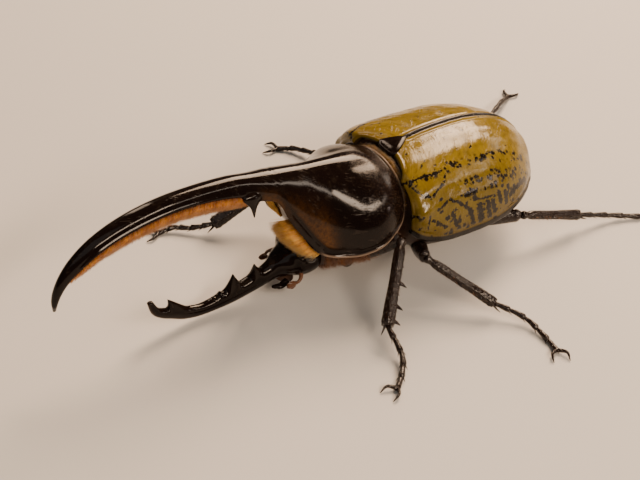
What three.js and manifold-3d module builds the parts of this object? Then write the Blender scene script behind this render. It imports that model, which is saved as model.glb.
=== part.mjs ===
// Rhinoceros beetle: a large horned male, life size, standing still on its six feet.
// Millimetres, +Z up. The head points along -Y, the animal's left side is +X and the floor is z = 0.
//
// Shapes are written in the animal's own frame: "ahead" is the distance in front of the joint between
// the shield and the wing cases, x runs to its left, and z is the height over the floor. The last
// lines move the model so that its origin is the middle of the bounding box, on the floor.
import * as THREE from "three";
import { ParametricGeometry } from "three/addons/geometries/ParametricGeometry.js";
import { mergeVertices } from "three/addons/utils/BufferGeometryUtils.js";
import Module from "manifold-3d";

const wasm = await Module();
wasm.setup();

// ---------- driving dimensions ----------
const GAP = 0.3; // clearance between neighbouring pieces
const SPLIT = 0.15; // half of the thin cut that parts one plate from the next
const SHIELD_START = 0; // the shield begins at the joint with the wing cases
const HORN_ROOT = 38; // the shield ends and its horn begins
const HORN_TIP = 100.7;
const HEAD_START = 22; // the back of the head lies inside the shield
const HEAD_SHOWS = 23.9; // the head piece begins here
const HEAD_HORN_ROOT = 35.5; // the head ends and its horn begins
const HEAD_HORN_TIP = 73.3;
const THORAX_END = -19; // the hind thorax meets the abdomen
const CASE_LENGTH = 52.6; // a wing case from its base to the tail
const CASE_BASE = 1.5; // the wing cases begin this far ahead
const CASE_HALF_WIDTH = 22.3;
const CASE_TOP = 36.8; // highest point of the wing cases
const CASE_SEAT = 16.4; // height from which the dome of the wing cases rises
const CASE_WALL = 1.5; // thickness of a wing case
const CASE_WIDEST = 0.42; // share of the length where they are widest
const CASE_HIGHEST = 0.36; // share of the length where they are highest
const BELLY = 6.6; // height of the underside
const EYE_RADIUS = 1.8;

// ---------- finishes ----------
const finish = (color, roughness) => new THREE.MeshStandardMaterial({ color, roughness, metalness: 0 });
const BLACK_SHELL = [0x120b08, 0.22];
const OLIVE_SHELL = [0x8b7425, 0.25];
const LEG_SHELL = [0x150d09, 0.35];
const UNDERSIDE = [0x2a1408, 0.5];
const EYE_GLOSS = [0x0a0706, 0.08];

// ---------- small mathematics ----------
// A smooth curve through pairs of [place, value]; returns a function of the place.
function curve(...keys) {
  const last = keys.length - 1;
  const slope = (i) => {
    const before = keys[Math.max(i - 1, 0)];
    const after = keys[Math.min(i + 1, last)];
    return (after[1] - before[1]) / (after[0] - before[0]);
  };
  return (place) => {
    const at = THREE.MathUtils.clamp(place, keys[0][0], keys[last][0]);
    let i = 0;
    while (i < last - 1 && at > keys[i + 1][0]) i++;
    const span = keys[i + 1][0] - keys[i][0];
    const u = (at - keys[i][0]) / span;
    const rise = u * u * (3 - 2 * u);
    const leave = u * (1 - u) * (1 - u) * span * slope(i);
    const arrive = u * u * (1 - u) * span * slope(i + 1);
    return keys[i][1] * (1 - rise) + keys[i + 1][1] * rise + leave - arrive;
  };
}
// The falling-off of a dome: 1 in the middle, 0 at the rim.
const dome = (share, power) => Math.max(1 - Math.abs(share) ** power, 0) ** (1 / power);
// One coordinate of a superellipse; a power of 2 is a circle and more is squarer.
const rounded = (value, power) => Math.sign(value) * Math.abs(value) ** (2 / power);
// A point of the animal's frame, [x, ahead, z], as a vector along the part's axes.
const place = ([x, ahead, z]) => new THREE.Vector3(x, -ahead, z);
const plus = (a, b, scale = 1) => a.map((value, i) => value + b[i] * scale);
const mix = (a, b, share) => a.map((value, i) => value + (b[i] - value) * share);
const unit = (a) => a.map((value) => value / Math.hypot(...a));
const towards = (from, to) => unit(plus(to, from, -1));
function cross(a, b) {
  return [a[1] * b[2] - a[2] * b[1], a[2] * b[0] - a[0] * b[2], a[0] * b[1] - a[1] * b[0]];
}

// ---------- solids ----------
// A closed geometry as a solid: vertices merged, collapsed triangles dropped, faces turned out.
function solidOf(geometry) {
  const bare = new THREE.BufferGeometry();
  bare.setAttribute("position", geometry.getAttribute("position"));
  bare.setIndex(geometry.index);
  const merged = mergeVertices(bare, 1e-4);
  const index = merged.index.array;
  const kept = [];
  for (let i = 0; i < index.length; i += 3) {
    const [a, b, c] = index.slice(i, i + 3);
    if (a !== b && b !== c && c !== a) kept.push(a, b, c);
  }
  const vertProperties = new Float32Array(merged.attributes.position.array);
  const build = (triangles) => {
    const mesh = new wasm.Mesh({ numProp: 3, vertProperties, triVerts: new Uint32Array(triangles) });
    return new wasm.Manifold(mesh);
  };
  const made = build(kept);
  return made.volume() > 0 ? made : build(kept.reverse());
}
const cut = (solid, ...tools) => tools.reduce((left, tool) => left.subtract(tool), solid);
const joined = (...solids) => solids.reduce((sum, each) => sum.add(each));
const keepAhead = (solid, ahead) => solid.trimByPlane([0, -1, 0], ahead);
const keepBehind = (solid, ahead) => solid.trimByPlane([0, 1, 0], -ahead);

// A loft over rings; ring(t) gives its middle and at(angle), both as [x, ahead, z], for t from 0 to 1.
// The first and the last ring are closed by a fan onto their middles.
function loft(ring, rings, sides) {
  const stacks = rings + 1;
  const surface = (u, v, target) => {
    const k = Math.round(v * stacks);
    const { middle, at } = ring(THREE.MathUtils.clamp((k - 1) / (rings - 1), 0, 1));
    const turn = (Math.round(u * sides) % sides) / sides;
    target.copy(place(k === 0 || k === stacks ? middle : at(2 * Math.PI * turn)));
  };
  return solidOf(new ParametricGeometry(surface, sides, stacks));
}
// A ring standing across the body: rounded above and below its middle, leaning forward if it must.
function plateRing(ahead, { middle, half, over, under, square = 2, squareUnder = 2, lean = 0 }) {
  const tilt = THREE.MathUtils.degToRad(lean);
  const at = (angle) => {
    const up = Math.sin(angle) >= 0;
    const power = up ? square : squareUnder;
    const x = half * rounded(Math.cos(angle), power);
    const rise = (up ? over : under) * rounded(Math.sin(angle), power);
    return [x, ahead + rise * Math.sin(tilt), middle + rise * Math.cos(tilt)];
  };
  return { middle: [0, ahead, middle], at };
}
// A plate: rings whose sizes are curves along the body. "pace" above 1 crowds them at the far end.
function plate(sizes, from, to, rings, sides, { grow = 0, pace = 1 } = {}) {
  return loft((t) => {
    const ahead = from - grow + (to - from + 2 * grow) * (1 - (1 - t) ** pace);
    const ring = Object.fromEntries(Object.entries(sizes).map(([name, size]) => [name, size(ahead)]));
    ring.half += grow;
    ring.over += grow;
    ring.under += grow;
    return plateRing(ahead, ring);
  }, rings, sides);
}
// A limb: round rings along a path, a little wider one way than the other.
function limb(path, radius, rings, sides, { grow = 0, wide = 1, along = [0, 0, 1] } = {}) {
  const line = new THREE.CatmullRomCurve3(path.map(place), false, "centripetal");
  const stretch = place(along);
  return loft((t) => {
    const middle = line.getPointAt(t);
    const axis = line.getTangentAt(t);
    if (t === 0) middle.addScaledVector(axis, -grow);
    if (t === 1) middle.addScaledVector(axis, grow);
    const across = stretch.clone().addScaledVector(axis, -stretch.dot(axis)).normalize();
    const other = axis.clone().cross(across);
    const reach = radius(t) + grow;
    const at = (angle) => {
      const spot = middle.clone();
      spot.addScaledVector(across, reach * wide * Math.cos(angle));
      spot.addScaledVector(other, reach * Math.sin(angle));
      return [spot.x, -spot.y, spot.z];
    };
    return { middle: [middle.x, -middle.y, middle.z], at };
  }, rings, sides);
}
// A spike from a foot to a tip, "flat" times as thick along the direction "thin".
function spike(foot, tip, radius, { flat = 1, thin = [1, 0, 0], sides = 6 } = {}) {
  const from = place(foot);
  const up = place(tip).sub(from);
  const height = up.length();
  up.normalize();
  const across = place(thin);
  across.addScaledVector(up, -across.dot(up)).normalize();
  const frame = new THREE.Matrix4().makeBasis(across, up, across.clone().cross(up)).setPosition(from);
  const cone = new THREE.ConeGeometry(radius, height, sides).translate(0, height / 2, 0);
  return solidOf(cone.scale(flat, 1, 1).applyMatrix4(frame));
}
// An ellipsoid of three radii, turned about the vertical.
function egg(centre, radii, { grow = 0, sides = 12, turn = 0 } = {}) {
  const ball = new THREE.SphereGeometry(1, sides, Math.round(sides * 0.6));
  ball.scale(...radii.map((radius) => radius + grow)).rotateZ(turn);
  const { x, y, z } = place(centre);
  return solidOf(ball.translate(x, y, z));
}

// ---------- shield (pronotum) and its horn ----------
// One plate: a hump as wide as the wing cases that runs out into a long horn bent down at its tip.
const SHIELD = {
  middle: curve([0, 24.5], [3, 22.4], [7, 20.4], [16.5, 16.6], [21.5, 16.1], [24.5, 16.6], [26.5, 17.6],
    [29.5, 20.8], [35.4, 30], [36.4, 32.6], [37.6, 34.6], [39.5, 35.7], [43, 37.4], [50, 40.1],
    [60, 41.6], [70, 41.7], [80, 40.2], [88, 37.4], [93.6, 33.8], [97.4, 30.4], [99.4, 27.4],
    [100.5, 24.2], [HORN_TIP, 21.6]),
  half: curve([0, 11.6], [3, 15.4], [7, 17.6], [11.5, 18.5], [16.5, 16.9], [21.5, 14.3], [26, 12.4],
    [29.5, 10.9], [32.5, 9.1], [35.4, 6.95], [39, 5.2], [43, 4.3], [50, 3.6], [60, 3.2], [80, 2.9],
    [93.6, 2.2], [99.4, 1.3], [100.5, 0.9], [HORN_TIP, 0.4]),
  over: curve([0, 8.8], [3, 12], [7, 15.4], [16.5, 20.8], [21.5, 22], [24.5, 22], [26.5, 21.4],
    [29.5, 19], [35.4, 11.2], [36.4, 8.9], [37.6, 7.5], [39.5, 6.1], [43, 5], [50, 3.9], [60, 3.2],
    [70, 3], [88, 2.8], [93.6, 2.6], [99.4, 1.4], [100.5, 1], [HORN_TIP, 0.5]),
  // A negative depth is the hollow under the front of the shield, where the head's hair brush sits.
  under: curve([0, 4], [11.5, 3], [21.5, 1.6], [27, 0.6], [29.5, -0.6], [32, -2.6], [35, -3], [37, -2],
    [39, 0], [41, 1.6], [43, 2.6], [50, 2.9], [60, 2.6], [80, 2.5], [93.6, 1.9], [99.4, 1.2],
    [100.5, 0.9], [HORN_TIP, 0.4]),
  square: curve([0, 2.1], [11.5, 2], [16.5, 1.8], [21.5, 1.76], [26, 1.84], [32.5, 2], [HORN_TIP, 2]),
  lean: curve([0, 0], [50, 0], [60, 2], [70, 8], [80, 17], [88, 30], [93.6, 46], [97.4, 58], [99.4, 72],
    [HORN_TIP, 95]),
};
const SHIELD_LAP = HORN_ROOT + 3; // the two lofts lap here, and a plane parts them
const shieldLoft = (rings, sides, grow) => plate(SHIELD, SHIELD_START, SHIELD_LAP, rings, sides, { grow });
const shieldGrown = shieldLoft(11, 18, GAP);
const shield = keepBehind(shieldLoft(15, 20, 0), HORN_ROOT - SPLIT);
const hornLoft = plate(SHIELD, HORN_ROOT - 3, HORN_TIP, 22, 10, { pace: 1.4 });
const hornTooth = (side) => {
  return spike([side * 3.1, 44.6, 38.6], [side * 6.4, 45.4, 33.6], 2.9, { flat: 0.62, thin: [side, 0, 0.6] });
};
const shieldHorn = joined(keepAhead(hornLoft, HORN_ROOT + SPLIT), hornTooth(1), hornTooth(-1));

// ---------- head and head horn ----------
const HEAD = {
  middle: curve([22, 11], [28.5, 10.1], [31.5, 9.1], [34.5, 7.7], [38, 6.3], [42, 5.3], [48, 4.2],
    [53.5, 3.5], [58, 3.4], [62, 4.3], [66, 5.9], [69.6, 7.2], [71.9, 9], [HEAD_HORN_TIP, 12.2]),
  half: curve([22, 6.4], [25, 7.5], [28.5, 7.1], [31.5, 5.4], [34.5, 3.4], [38, 2.4], [48, 2], [58, 1.5],
    [66, 1.4], [69.6, 1.1], [71.9, 0.8], [HEAD_HORN_TIP, 0.45]),
  over: curve([22, 4.6], [28.5, 4.8], [31.5, 4.2], [34.5, 3.1], [38, 2.4], [48, 2.2], [58, 1.5],
    [66, 1.7], [69.6, 1.1], [HEAD_HORN_TIP, 0.45]),
  under: curve([22, 5.2], [25, 6], [28.5, 5.8], [31.5, 4.5], [34.5, 3.2], [38, 2.5], [48, 2.3],
    [56, 2.1], [63, 2.3], [67, 2], [69.6, 1.4], [HEAD_HORN_TIP, 0.5]),
  square: curve([22, 2.3], [38, 2], [HEAD_HORN_TIP, 2]),
  lean: curve([22, 0], [28.5, 4], [38, 18], [42, 14], [48, 8], [53.5, 0], [62, -20], [69.6, -44],
    [71.9, -60], [HEAD_HORN_TIP, -80]),
};
const headLoft = (rings, sides, grow) => plate(HEAD, HEAD_START, HEAD_HORN_ROOT + 2, rings, sides, { grow });
const eye = (side, grow = 0) => egg([side * 6.9, 27, 13.2], Array(3).fill(EYE_RADIUS), { grow, sides: 8 });
const headHornLoft = plate(HEAD, HEAD_HORN_ROOT - 2, HEAD_HORN_TIP, 17, 8, { pace: 1.35 });
// Teeth along the upper edge of the horn: foot and tip as [ahead, z], and the radius of the foot.
const headTeeth = [
  { foot: [40.6, 6.8], tip: [40.5, 11.8], radius: 1.6 },
  { foot: [48, 5.4], tip: [47.5, 11.1], radius: 1.7 },
  { foot: [51.5, 4.8], tip: [51.5, 7.4], radius: 1 },
  { foot: [65.8, 6.4], tip: [68, 11], radius: 2 },
].map(({ foot, tip, radius }) => spike([0, ...foot], [0, ...tip], radius, { flat: 0.6 }));
const headHorn = joined(keepAhead(headHornLoft, HEAD_HORN_ROOT + SPLIT), ...headTeeth);

// ---------- wing cases, scutellum, hind thorax and abdomen ----------
const CASE_RIM = curve([0, 18.6], [0.06, 17], [0.22, 15.3], [0.6, 15], [0.85, 16], [1, 17]);
const CASE_SQUARE = curve([0, 3.2], [0.2, 2.7], [0.4, 2.4], [0.6, 2.32], [0.85, 2], [1, 1.8]);
const SHOULDER = 0.04; // share of the length over which the front edge rounds off
// A ring of the dome over the hind body at a share of its length, shrunk by "inset" all round.
function hindRing(share, inset, depth) {
  const front = share < CASE_WIDEST;
  const out = front ? (share - CASE_WIDEST) / 0.486 : (share - CASE_WIDEST) / (1 - CASE_WIDEST);
  const up = (share - CASE_HIGHEST) / (share < CASE_HIGHEST ? 0.62 : 1 - CASE_HIGHEST);
  const edge = 1 - 0.1 * Math.max(1 - share / SHOULDER, 0) ** 2;
  const middle = CASE_RIM(share);
  const half = Math.max(CASE_HALF_WIDTH * dome(out, front ? 4.5 : 2) * edge - inset, 0.4);
  const top = CASE_SEAT + (CASE_TOP - CASE_SEAT) * dome(up, 2.25) * edge;
  const over = Math.max(top - middle, 0.6) - inset;
  const ahead = CASE_BASE - inset - (CASE_LENGTH - 2 * inset) * share;
  return plateRing(ahead, { middle, half, over, under: depth(share), square: CASE_SQUARE(share) });
}
// The rings crowd towards both ends, where the dome turns down.
function hindDome(inset, depth, rings, sides) {
  return loft((t) => hindRing((1 - Math.cos(Math.PI * t)) / 2, inset, depth), rings, sides);
}
const bellyDepth = (share) => CASE_RIM(share) - BELLY - 20 * Math.max(share - 0.72, 0);
const hindBody = hindDome(CASE_WALL, bellyDepth, 11, 16);
const hindBodyGrown = hindDome(CASE_WALL - GAP, (share) => bellyDepth(share) + GAP, 11, 16);

// The scutellum is the small shield between the bases of the wing cases.
function scutellumPrism(grow) {
  const [base, tip, half, waist] = [1 - grow, 8.6 + 1.6 * grow, 4.6 + grow, 3.3 + grow];
  const outline = new THREE.Shape();
  outline.moveTo(-half, base);
  outline.lineTo(half, base);
  outline.quadraticCurveTo(waist, 5, 0, tip);
  outline.quadraticCurveTo(-waist, 5, -half, base);
  const prism = new THREE.ExtrudeGeometry(outline, { depth: 20, bevelEnabled: false, curveSegments: 4 });
  return solidOf(prism.translate(0, 0, 22));
}
const scutellumDome = hindDome(-0.25, () => 1, 12, 18);
const scutellum = cut(scutellumDome.intersect(scutellumPrism(0)), hindBodyGrown);
// The front edge of the wing cases is hollowed to follow the shield.
const frontHollow = egg([0, 10.5, 30], [17, 12.6, 30], { sides: 16 });
const casesWhole = hindDome(0, () => 1.1, 14, 20);
const casesGrown = hindDome(-GAP, () => 1.1 + GAP, 14, 20);
const cases = cut(casesWhole, hindBodyGrown, scutellumPrism(GAP), shieldLoft(11, 18, 1.4), frontHollow);
const caseLeft = cases.trimByPlane([1, 0, 0], SPLIT);
const caseRight = cases.trimByPlane([-1, 0, 0], SPLIT);

// ---------- legs ----------
// Joints of each leg; "foot" runs on from the ankle to the root of the claws, and "aim" is where
// the claws point if they don't follow the foot.
const LEGS = {
  left_fore: {
    hip: [6.5, 14.5, 8.2], knee: [19.4, 5.9, 19.4], ankle: [34.4, 20.6, 6],
    foot: [[43.4, 22, 2.4], [48, 25.6, 1.3], [51.2, 29.4, 0.6]], stout: 1.25, aim: [0.2, 0.98, 0],
  },
  right_fore: {
    hip: [-6.5, 14.5, 8.2], knee: [-24.6, 13.5, 16.6], ankle: [-29.8, 35.2, 3.6],
    foot: [[-33.4, 40.6, 1.9], [-36.4, 44.4, 1.6], [-37.4, 49.2, 0.6]], stout: 1.25,
  },
  left_mid: {
    hip: [8.5, -7, 8.2], knee: [24.2, 0.9, 14], ankle: [40.5, -11.5, 4.2],
    foot: [[47.9, -16.4, 2.2], [55.6, -17, 1.1], [61.8, -16.4, 0.6]], stout: 1, aim: [0.93, 0.36, 0],
  },
  right_mid: {
    hip: [-8.5, -7, 8.2], knee: [-24.5, 0.4, 14.5], ankle: [-38.4, -12.4, 4.8],
    foot: [[-46.4, -10.2, 2.4], [-52, -7.4, 1.4], [-55.2, -3.6, 0.6]], stout: 1,
  },
  left_hind: {
    hip: [6.8, -18.5, 8.2], knee: [20.4, -37.2, 11.2], ankle: [23, -57.4, 5.2],
    foot: [[25.2, -68.6, 2.1], [28.6, -76, 1], [32, -82, 0.6]], stout: 1,
  },
  right_hind: {
    hip: [-6.8, -18.5, 8.2], knee: [-19.6, -38.6, 11.2], ankle: [-27.4, -60.2, 5.4],
    foot: [[-33.2, -71.2, 3.8], [-37.8, -78.6, 2.6], [-41.6, -85, 0.6]], stout: 1,
  },
};
const FOOT_JOINTS = 5;
const THIGH = curve([0, 1.2], [0.25, 2], [0.55, 2.2], [0.85, 1.7], [1, 1.2]);
const SHIN = curve([0, 0.85], [0.12, 1.08], [0.6, 1.12], [0.88, 1.3], [1, 1.15]);
const FOOT = (share) => 0.6 + 0.22 * Math.abs(Math.sin(Math.PI * share * FOOT_JOINTS));
const CLAW = curve([0, 0.5], [1, 0.27]);
const DOWN = [0, 0, -1];

function legSolids({ hip, knee, ankle, foot, stout, aim }) {
  const side = Math.sign(hip[0]);
  const fore = stout > 1;
  const coxa = (grow) => egg(hip, [3.4, 2.9, 2.6], { grow, sides: 8, turn: -side * 0.5 });
  const thigh = (grow) => {
    return limb([mix(hip, knee, 0.06), mix(hip, knee, 0.5), knee], THIGH, 6, 6, { grow, wide: 1.15 });
  };
  const shin = (grow) => {
    return limb([knee, mix(knee, ankle, 0.5), ankle], (t) => SHIN(t) * stout, 5, 6, { grow, wide: 1.1 });
  };
  // Teeth stand on the shin's outer edge, and two spurs at its end.
  const shinLine = towards(knee, ankle);
  const outward = unit(cross(shinLine, DOWN)).map((value) => value * (fore ? -side : side));
  const teeth = (fore ? [0.46, 0.76, 0.93] : [0.5, 0.8]).map((share) => {
    const root = plus(mix(knee, ankle, share), outward, 0.4);
    return spike(root, plus(plus(root, outward, fore ? 2.7 : 1.7), shinLine, 1), 0.9, { sides: 4 });
  });
  const spurs = [0.9, -0.9].map((lean) => {
    const root = plus(plus(ankle, shinLine, -0.9), outward, lean * 0.5);
    const spurTip = plus(plus(plus(root, shinLine, 3.2), outward, lean * 1.6), DOWN, 0.9);
    return spike(root, spurTip, 0.6, { sides: 4 });
  });
  // The foot is a string of short joints; a pair of claws closes it.
  const footBody = limb([ankle, ...foot], FOOT, 2 * FOOT_JOINTS + 1, 5);
  const end = foot.at(-1);
  const heading = aim ?? towards(foot.at(-2), end);
  const flank = unit(cross(heading, DOWN));
  const claws = [1, -1].map((lean) => {
    const root = plus(end, heading, -0.5);
    const bend = plus(plus(plus(root, heading, 2), flank, lean * 2), DOWN, -0.5);
    const tip = plus(plus(plus(root, heading, 4.2), flank, lean * 2.8), DOWN, 0.2);
    return limb([root, bend, tip], CLAW, 4, 4);
  });
  return {
    coxa: coxa(0),
    femur: cut(thigh(0), coxa(GAP), shin(GAP), shieldGrown),
    tibia: joined(shin(0), ...teeth, ...spurs),
    tarsus: cut(joined(footBody, ...claws), shin(GAP), ...spurs).trimByPlane([0, 0, 1], 0),
    room: joined(coxa(GAP), thigh(GAP)),
  };
}
const legs = Object.fromEntries(Object.entries(LEGS).map(([name, joints]) => [name, legSolids(joints)]));
const legRoom = Object.values(legs).map((leg) => leg.room);

// ---------- underside, mouth parts and feelers ----------
const BREAST_BACK = 0.3;
const BREAST_FRONT = 23.6;
const BREAST = {
  middle: curve([BREAST_BACK, 14], [BREAST_FRONT, 12]),
  half: curve([BREAST_BACK, 11], [5, 12.4], [13, 12.6], [20, 9.6], [BREAST_FRONT, 8]),
  over: curve([BREAST_BACK, 6.5], [5, 6], [13, 4], [BREAST_FRONT, 4]),
  under: curve([BREAST_BACK, 7], [13, 6.6], [BREAST_FRONT, 5.2]),
  square: () => 2.2,
  squareUnder: () => 2.2,
};
const breastWhole = plate(BREAST, BREAST_BACK, BREAST_FRONT, 6, 14);
const breast = cut(breastWhole, shieldGrown, casesGrown, ...legRoom);
const hindFront = keepAhead(hindBody, THORAX_END + SPLIT);
const scutellumSeat = scutellumPrism(GAP).intersect(hindDome(0.9, () => 0.1, 10, 16));
const hindThorax = cut(hindFront, shieldGrown, scutellumSeat, ...legRoom);
const abdomen = cut(keepBehind(hindBody, THORAX_END - SPLIT), ...legRoom);
const headBlock = keepBehind(keepAhead(headLoft(8, 14, 0), HEAD_SHOWS), HEAD_HORN_ROOT - SPLIT);
const head = cut(headBlock, shieldGrown, eye(1, GAP), eye(-1, GAP));
const headGrown = headLoft(8, 12, GAP);

const mouthAt = (grow) => egg([0, 31, 3.9], [3.3, 2.6, 1.1], { grow, sides: 8 });
const mandible = (side) => {
  const path = [[side * 3.2, 31.8, 4.2], [side * 3.6, 34.4, 3.8], [side * 2.5, 36.4, 3.6]];
  return limb(path, curve([0, 1.1], [0.6, 0.95], [1, 0.45]), 4, 6);
};
const palp = (side) => {
  const bends = [[4.2, 29.6, 3.8], [5.4, 30.9, 3.5], [5.8, 32.1, 3.8], [5.5, 33.2, 4.4]];
  const path = bends.map(([x, s, z]) => [side * x, s, z]);
  return limb(path, curve([0, 0.42], [0.8, 0.55], [1, 0.3]), 6, 5);
};
// A feeler is a thin stalk that ends in a club of three leaves.
const feeler = (side) => {
  const bends = [[6.4, 29.4, 8], [7.3, 30.2, 7.3], [7.7, 31.4, 6.8], [7.3, 32.2, 6.4]];
  const path = bends.map(([x, s, z]) => [side * x, s, z]);
  const stalk = limb(path, curve([0, 0.6], [0.35, 0.55], [1, 0.42]), 5, 5);
  return joined(stalk, egg([side * 7.1, 33, 6.2], [0.7, 1.4, 0.85], { sides: 7 }));
};

// ---------- the model ----------
const beetle = new THREE.Group();
function add(name, solid, look) {
  const mesh = solid.getMesh();
  const geometry = new THREE.BufferGeometry();
  geometry.setAttribute("position", new THREE.BufferAttribute(mesh.vertProperties, 3));
  geometry.setIndex(new THREE.BufferAttribute(mesh.triVerts, 1));
  const node = new THREE.Mesh(geometry, finish(...look));
  node.name = name;
  beetle.add(node);
}
add("pronotum", shield, BLACK_SHELL);
add("pronotal_horn", shieldHorn, BLACK_SHELL);
add("head", head, BLACK_SHELL);
add("head_horn", headHorn, BLACK_SHELL);
add("scutellum", scutellum, BLACK_SHELL);
add("wing_case_left", caseLeft, OLIVE_SHELL);
add("wing_case_right", caseRight, OLIVE_SHELL);
add("breast", breast, UNDERSIDE);
add("hind_thorax", hindThorax, UNDERSIDE);
add("abdomen", abdomen, UNDERSIDE);
add("mouth", cut(mouthAt(0), headGrown), UNDERSIDE);
for (const [name, side] of [["left", 1], ["right", -1]]) {
  add(`eye_${name}`, eye(side), EYE_GLOSS);
  add(`mandible_${name}`, cut(mandible(side), headGrown, mouthAt(GAP)), BLACK_SHELL);
  add(`palp_${name}`, cut(palp(side), headGrown), LEG_SHELL);
  add(`antenna_${name}`, cut(feeler(side), headGrown), LEG_SHELL);
}
for (const [name, leg] of Object.entries(legs)) {
  for (const piece of ["coxa", "femur", "tibia", "tarsus"]) add(`${name}_${piece}`, leg[piece], LEG_SHELL);
}

// The origin is the middle of the bounding box, on the floor.
const box = new THREE.Box3().setFromObject(beetle);
const centre = box.getCenter(new THREE.Vector3());
beetle.position.set(-centre.x, -centre.y, 0);

export default beetle;
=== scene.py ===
# %% [markdown]
# # A large horned beetle, life size
#
# This lesson dresses the solid model of a male rhinoceros beetle. The solids give
# the true sizes; here every plate, limb and tuft of hair is made again as a fine
# mesh over them, with its own finish. You will meet lofted skins, displaced
# details, shell plates with a thickness, jointed legs and mesh hair.

# %% Load the frame
import math

import bpy
import numpy as np
from mathutils import Matrix, Quaternion, Vector


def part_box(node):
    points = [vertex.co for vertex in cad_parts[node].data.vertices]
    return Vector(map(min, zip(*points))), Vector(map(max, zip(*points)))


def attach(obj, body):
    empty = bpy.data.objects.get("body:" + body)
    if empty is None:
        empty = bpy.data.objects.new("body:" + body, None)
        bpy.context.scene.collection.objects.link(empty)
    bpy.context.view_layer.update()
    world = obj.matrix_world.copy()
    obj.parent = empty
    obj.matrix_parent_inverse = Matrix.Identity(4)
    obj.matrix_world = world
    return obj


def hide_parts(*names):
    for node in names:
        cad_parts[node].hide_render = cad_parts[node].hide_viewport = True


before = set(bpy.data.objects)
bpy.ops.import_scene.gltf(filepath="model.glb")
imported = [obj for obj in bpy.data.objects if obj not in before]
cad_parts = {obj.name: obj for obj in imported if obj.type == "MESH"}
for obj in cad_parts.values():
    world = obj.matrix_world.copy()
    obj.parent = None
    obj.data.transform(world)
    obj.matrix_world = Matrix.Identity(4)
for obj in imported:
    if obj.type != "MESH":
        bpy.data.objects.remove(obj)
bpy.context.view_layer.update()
rng = np.random.default_rng(7)
print("frame nodes:", len(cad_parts))

# %% [markdown]
# ## The animal's own frame
#
# A beetle is easiest to describe along its own body: how far left (x), how far
# "ahead" of the joint between shield and wing cases, and how high over the
# floor, all in millimetres. One function turns such points into metres in the
# frame of the solids. It takes its zero from the solids themselves: the shield's
# flat rear face, and the middle of the small plate between the wing cases.

# %% Places
MM = 0.001
plate_low, plate_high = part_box("scutellum")
shield_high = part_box("pronotum")[1]
ZERO = np.array([(plate_low.x + plate_high.x) / 2, shield_high.y, 0.0])


def to_scene(points):
    """Points [x, ahead, z] in mm as metres in the model's frame."""
    p = np.asarray(points, float)
    return ZERO + MM * np.stack([p[..., 0], -p[..., 1], p[..., 2]], -1)


print("zero of the animal's frame:", ZERO.round(5))

# %% [markdown]
# ## A little mathematics
#
# Smooth profiles come from a few keys. A **cubic curve** through the keys gives
# a soft line that never swings far from them, which suits a polished shell.
# A **superellipse** is a circle that can be made squarer by one number.

# %% Curves and rounding


def curve(*keys):
    """A smooth curve through [place, value] pairs, as a function of the place."""
    at, value = np.array(keys, float).T
    before = np.maximum(np.arange(len(at)) - 1, 0)
    after = np.minimum(np.arange(len(at)) + 1, len(at) - 1)
    slope = (value[after] - value[before]) / (at[after] - at[before])

    def read(place):
        p = np.clip(np.asarray(place, float), at[0], at[-1])
        i = np.clip(np.searchsorted(at, p) - 1, 0, len(at) - 2)
        span = at[i + 1] - at[i]
        u = (p - at[i]) / span
        rise = u * u * (3 - 2 * u)
        bend = u * (1 - u) ** 2 * slope[i] - u * u * (1 - u) * slope[i + 1]
        return value[i] * (1 - rise) + value[i + 1] * rise + bend * span

    return read


def rounded(value, power):
    """A cosine or sine made squarer: power 2 leaves a circle, more fills its corners."""
    return np.sign(value) * np.abs(value) ** (2 / power)


def bump(value, width):
    """1 at zero, falling softly to 0 over about two widths."""
    return np.exp(-((value / width) ** 2))


def ease(value, low, high):
    """0 below low, 1 above high and a soft step between."""
    u = np.clip((value - low) / (high - low), 0, 1)
    return u * u * (3 - 2 * u)


def unit(v):
    """The same direction with a length of 1."""
    return v / np.maximum(np.linalg.norm(v, axis=-1, keepdims=True), 1e-12)


def stations(start, end, count, *crowded):
    """Places from start to end, closer together near each (place, width, gain)."""
    s = np.linspace(start, end, 4000)
    density = np.ones_like(s)
    for at, width, gain in crowded:
        density = density + gain * bump(s - at, width)
    total = np.cumsum(density)
    total = (total - total[0]) / (total[-1] - total[0])
    return np.interp(np.linspace(0, 1, count), total, s)


print("a curve through 0, 1 and 0, read at a quarter:", float(curve((0, 0), (1, 1), (2, 0))(0.5)))

# %% [markdown]
# ## Skins from rings
#
# Every plate is a **loft**: rings of points, one behind the other, joined by
# quads and closed at both ends. It could be sculpted or subdivided by hand, but
# a loft keeps the exact sizes of the solids, and any point of it can be pushed
# along its own normal to raise a rim, a tooth or a groove.

# %% Loft helpers


def grid_normals(grid, wrap=True):
    """Outward normals of a grid of rings."""
    along = np.gradient(grid, axis=0)
    if wrap:
        around = np.roll(grid, -1, 1) - np.roll(grid, 1, 1)
    else:
        around = np.gradient(grid, axis=1)
    normal = unit(np.cross(along, around))
    out = grid - grid.mean(axis=1, keepdims=True)
    return normal if (normal * out).sum() > 0 else -normal


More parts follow.
